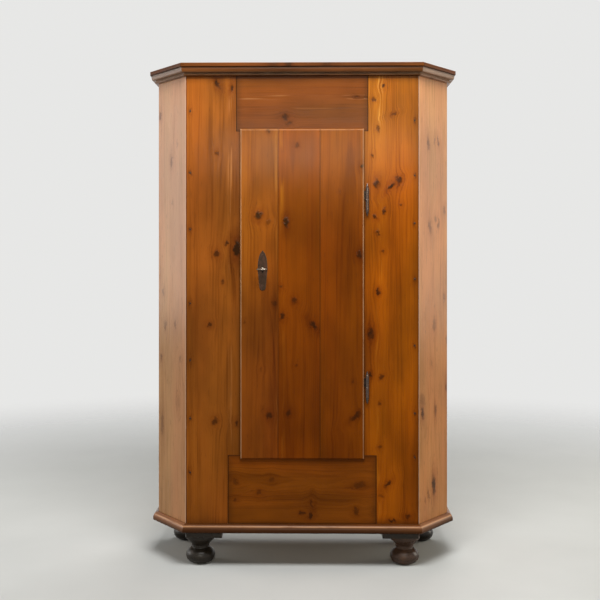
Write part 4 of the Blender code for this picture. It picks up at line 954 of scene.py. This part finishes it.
def make_nails():
    """Nails in the stiles, back, top, battens and cleats."""
    black = iron("nail_iron", NAIL_IRON)
    stiles = [(x / PER_METRE, FRONT_Y, z / PER_METRE)
              for x, levels in ((LEFT_NAIL_X, LEFT_NAILS), (RIGHT_NAIL_X, RIGHT_NAILS)) for z in levels]
    nails("stile_nails", stiles, FRONT, STILE_NAIL, black, "carcase")
    back = []
    for number in BACK_BOARDS:
        low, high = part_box(f"back_board_{number}")
        for share in BACK_NAIL_SHARES:
            x = between(low.x, high.x, share)
            back += [(x + BACK_NAIL_WANDER * sin(WAVE_X * x + WAVE_Z * z), high.y, z) for z in BACK_NAILS]
    nails("back_nails", back, BACK, BACK_NAIL, black, "carcase")
    low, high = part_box("top_board_rear")
    depths = (low.y + REAR_PLANK_INSET, high.y - TOP_INSET)
    top = [(x, y, high.z) for x in TOP_REAR_NAILS for y in depths]
    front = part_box("top_board_front")[0].y + TOP_INSET
    top += [(x, front, high.z) for x in TOP_FRONT_NAILS]
    nails("top_nails", top, UP, TOP_NAIL, black, "carcase")
    battens = []
    for level in ("lower", "upper"):
        low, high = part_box("door_batten_" + level)
        battens += [(x, high.y, (low.z + high.z) / 2 + BATTEN_STAGGER * (-1) ** index)
                    for index, x in enumerate(BATTEN_NAILS)
                    if low.x + BATTEN_MARGIN < x < high.x - BATTEN_MARGIN]
    nails("batten_nails", battens, BACK, BATTEN_NAIL, black, "door")
    for side, outward in (("left", RIGHT), ("right", LEFT)):
        for number in SHELVES:
            low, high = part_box(f"shelf_cleat_{number}_{side}")
            x = high.x if side == "left" else low.x
            places = [(x, between(low.y, high.y, share), low.z + CLEAT_NAIL_RISE)
                      for share in CLEAT_NAIL_SHARES]
            nails(f"cleat_nails_{number}_{side}", places, outward, CLEAT_NAIL, black, "carcase")


def make_screws():
    """Slotted screws at the corners of the lock case and in the strike plate."""
    steel = iron("screw_iron", SCREW_IRON)
    low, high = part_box("lock_case")
    bm = bmesh.new()
    for x in (low.x + LOCK_INSET, high.x - LOCK_INSET):
        for z in (low.z + LOCK_INSET, high.z - LOCK_INSET):
            screw_head(bm, (x, high.y, z), BACK, LOCK_SCREW, LOCK_TURN_X * x + LOCK_TURN_Z * z)
    new_piece("lock_screws", bm, steel, "door")
    low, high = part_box("lock_strike")
    x = (low.x + high.x) / 2 - STRIKE_ASIDE
    bm = bmesh.new()
    for z in (low.z + STRIKE_INSET, high.z - STRIKE_INSET):
        screw_head(bm, (x, high.y, z), BACK, STRIKE_SCREW, STRIKE_TURN * z)
    new_piece("strike_screws", bm, steel, "carcase")


def make_floor():
    """Pale floor that fades into the background far away."""
    material, tree, shader = new_material("floor")
    place = tree.place()
    speckle = tree.noise(place, *FLOOR_SPECKLE)
    colour = tree.mix(tree.seen(), FLOOR_BOUNCE, tree.mix(speckle, *FLOOR_COLOURS))
    tree.fill(shader, {"Base Color": colour, "Roughness": FLOOR_ROUGHNESS, "Specular IOR Level": FLOOR_GLOSS})
    clear = tree.node("BsdfTransparent")
    far = tree.ramp(tree.vector("LENGTH", place), *FLOOR_FADE)
    blend = tree.node("MixShader", {0: far, 1: shader.outputs[0], 2: clear.outputs[0]})
    tree.fill(tree.data.nodes["Material Output"], {0: blend.outputs[0]})
    bm = bmesh.new()
    bmesh.ops.create_circle(bm, cap_ends=True, segments=FLOOR_SIDES, radius=FLOOR_RADIUS)
    mesh_object("floor", bm, material)


def make_world():
    """Pale background for the camera and for reflections, and dimmer light from all round."""
    world = bpy.data.worlds.new("studio")
    world.use_nodes = True
    tree = Tree(world.node_tree)
    shown = tree.data.nodes["Background"]
    tree.fill(shown, {"Color": BACKGROUND, "Strength": 1})
    fill = tree.node("Background", {"Color": SKY, "Strength": SKY_STRENGTH})
    blend = tree.node("MixShader", {0: tree.seen(), 1: fill.outputs[0], 2: shown.outputs[0]})
    tree.fill(tree.data.nodes["World Output"], {0: blend.outputs[0]})
    bpy.context.scene.world = world


def make_lamps():
    """Soft light from above, from behind the camera, from both sides and from behind."""
    for name, place, target, width, height, watts, colour in LAMPS:
        lamp = bpy.data.lights.new(name, "AREA")
        lamp.shape = "RECTANGLE"
        lamp.size, lamp.size_y = width, height
        lamp.energy = watts
        lamp.color = colour
        thing = new_object(name, lamp)
        thing.location = place
        aim = Vector(target) - Vector(place)
        thing.rotation_euler = aim.to_track_quat("-Z", "Y").to_euler()


def make_camera():
    """Camera at the photograph's place."""
    lens = bpy.data.cameras.new("camera")
    lens.sensor_width = SENSOR_WIDTH
    lens.lens = SENSOR_WIDTH * FOCAL_PIXELS / IMAGE_SIZE
    lens.shift_x = SHIFT_RIGHT / IMAGE_SIZE
    lens.shift_y = SHIFT_UP / IMAGE_SIZE
    camera = new_object("camera", lens)
    camera.location = CAMERA_PLACE
    camera.rotation_euler = CAMERA_TURN
    bpy.context.scene.camera = camera


make_camera()
dress_front()
dress_walls()
dress_inside()
dress_mouldings()
dress_door()
dress_iron()
make_feet()
make_nails()
make_screws()
make_floor()
make_world()
make_lamps()
bpy.context.scene.view_settings.view_transform = "Standard"
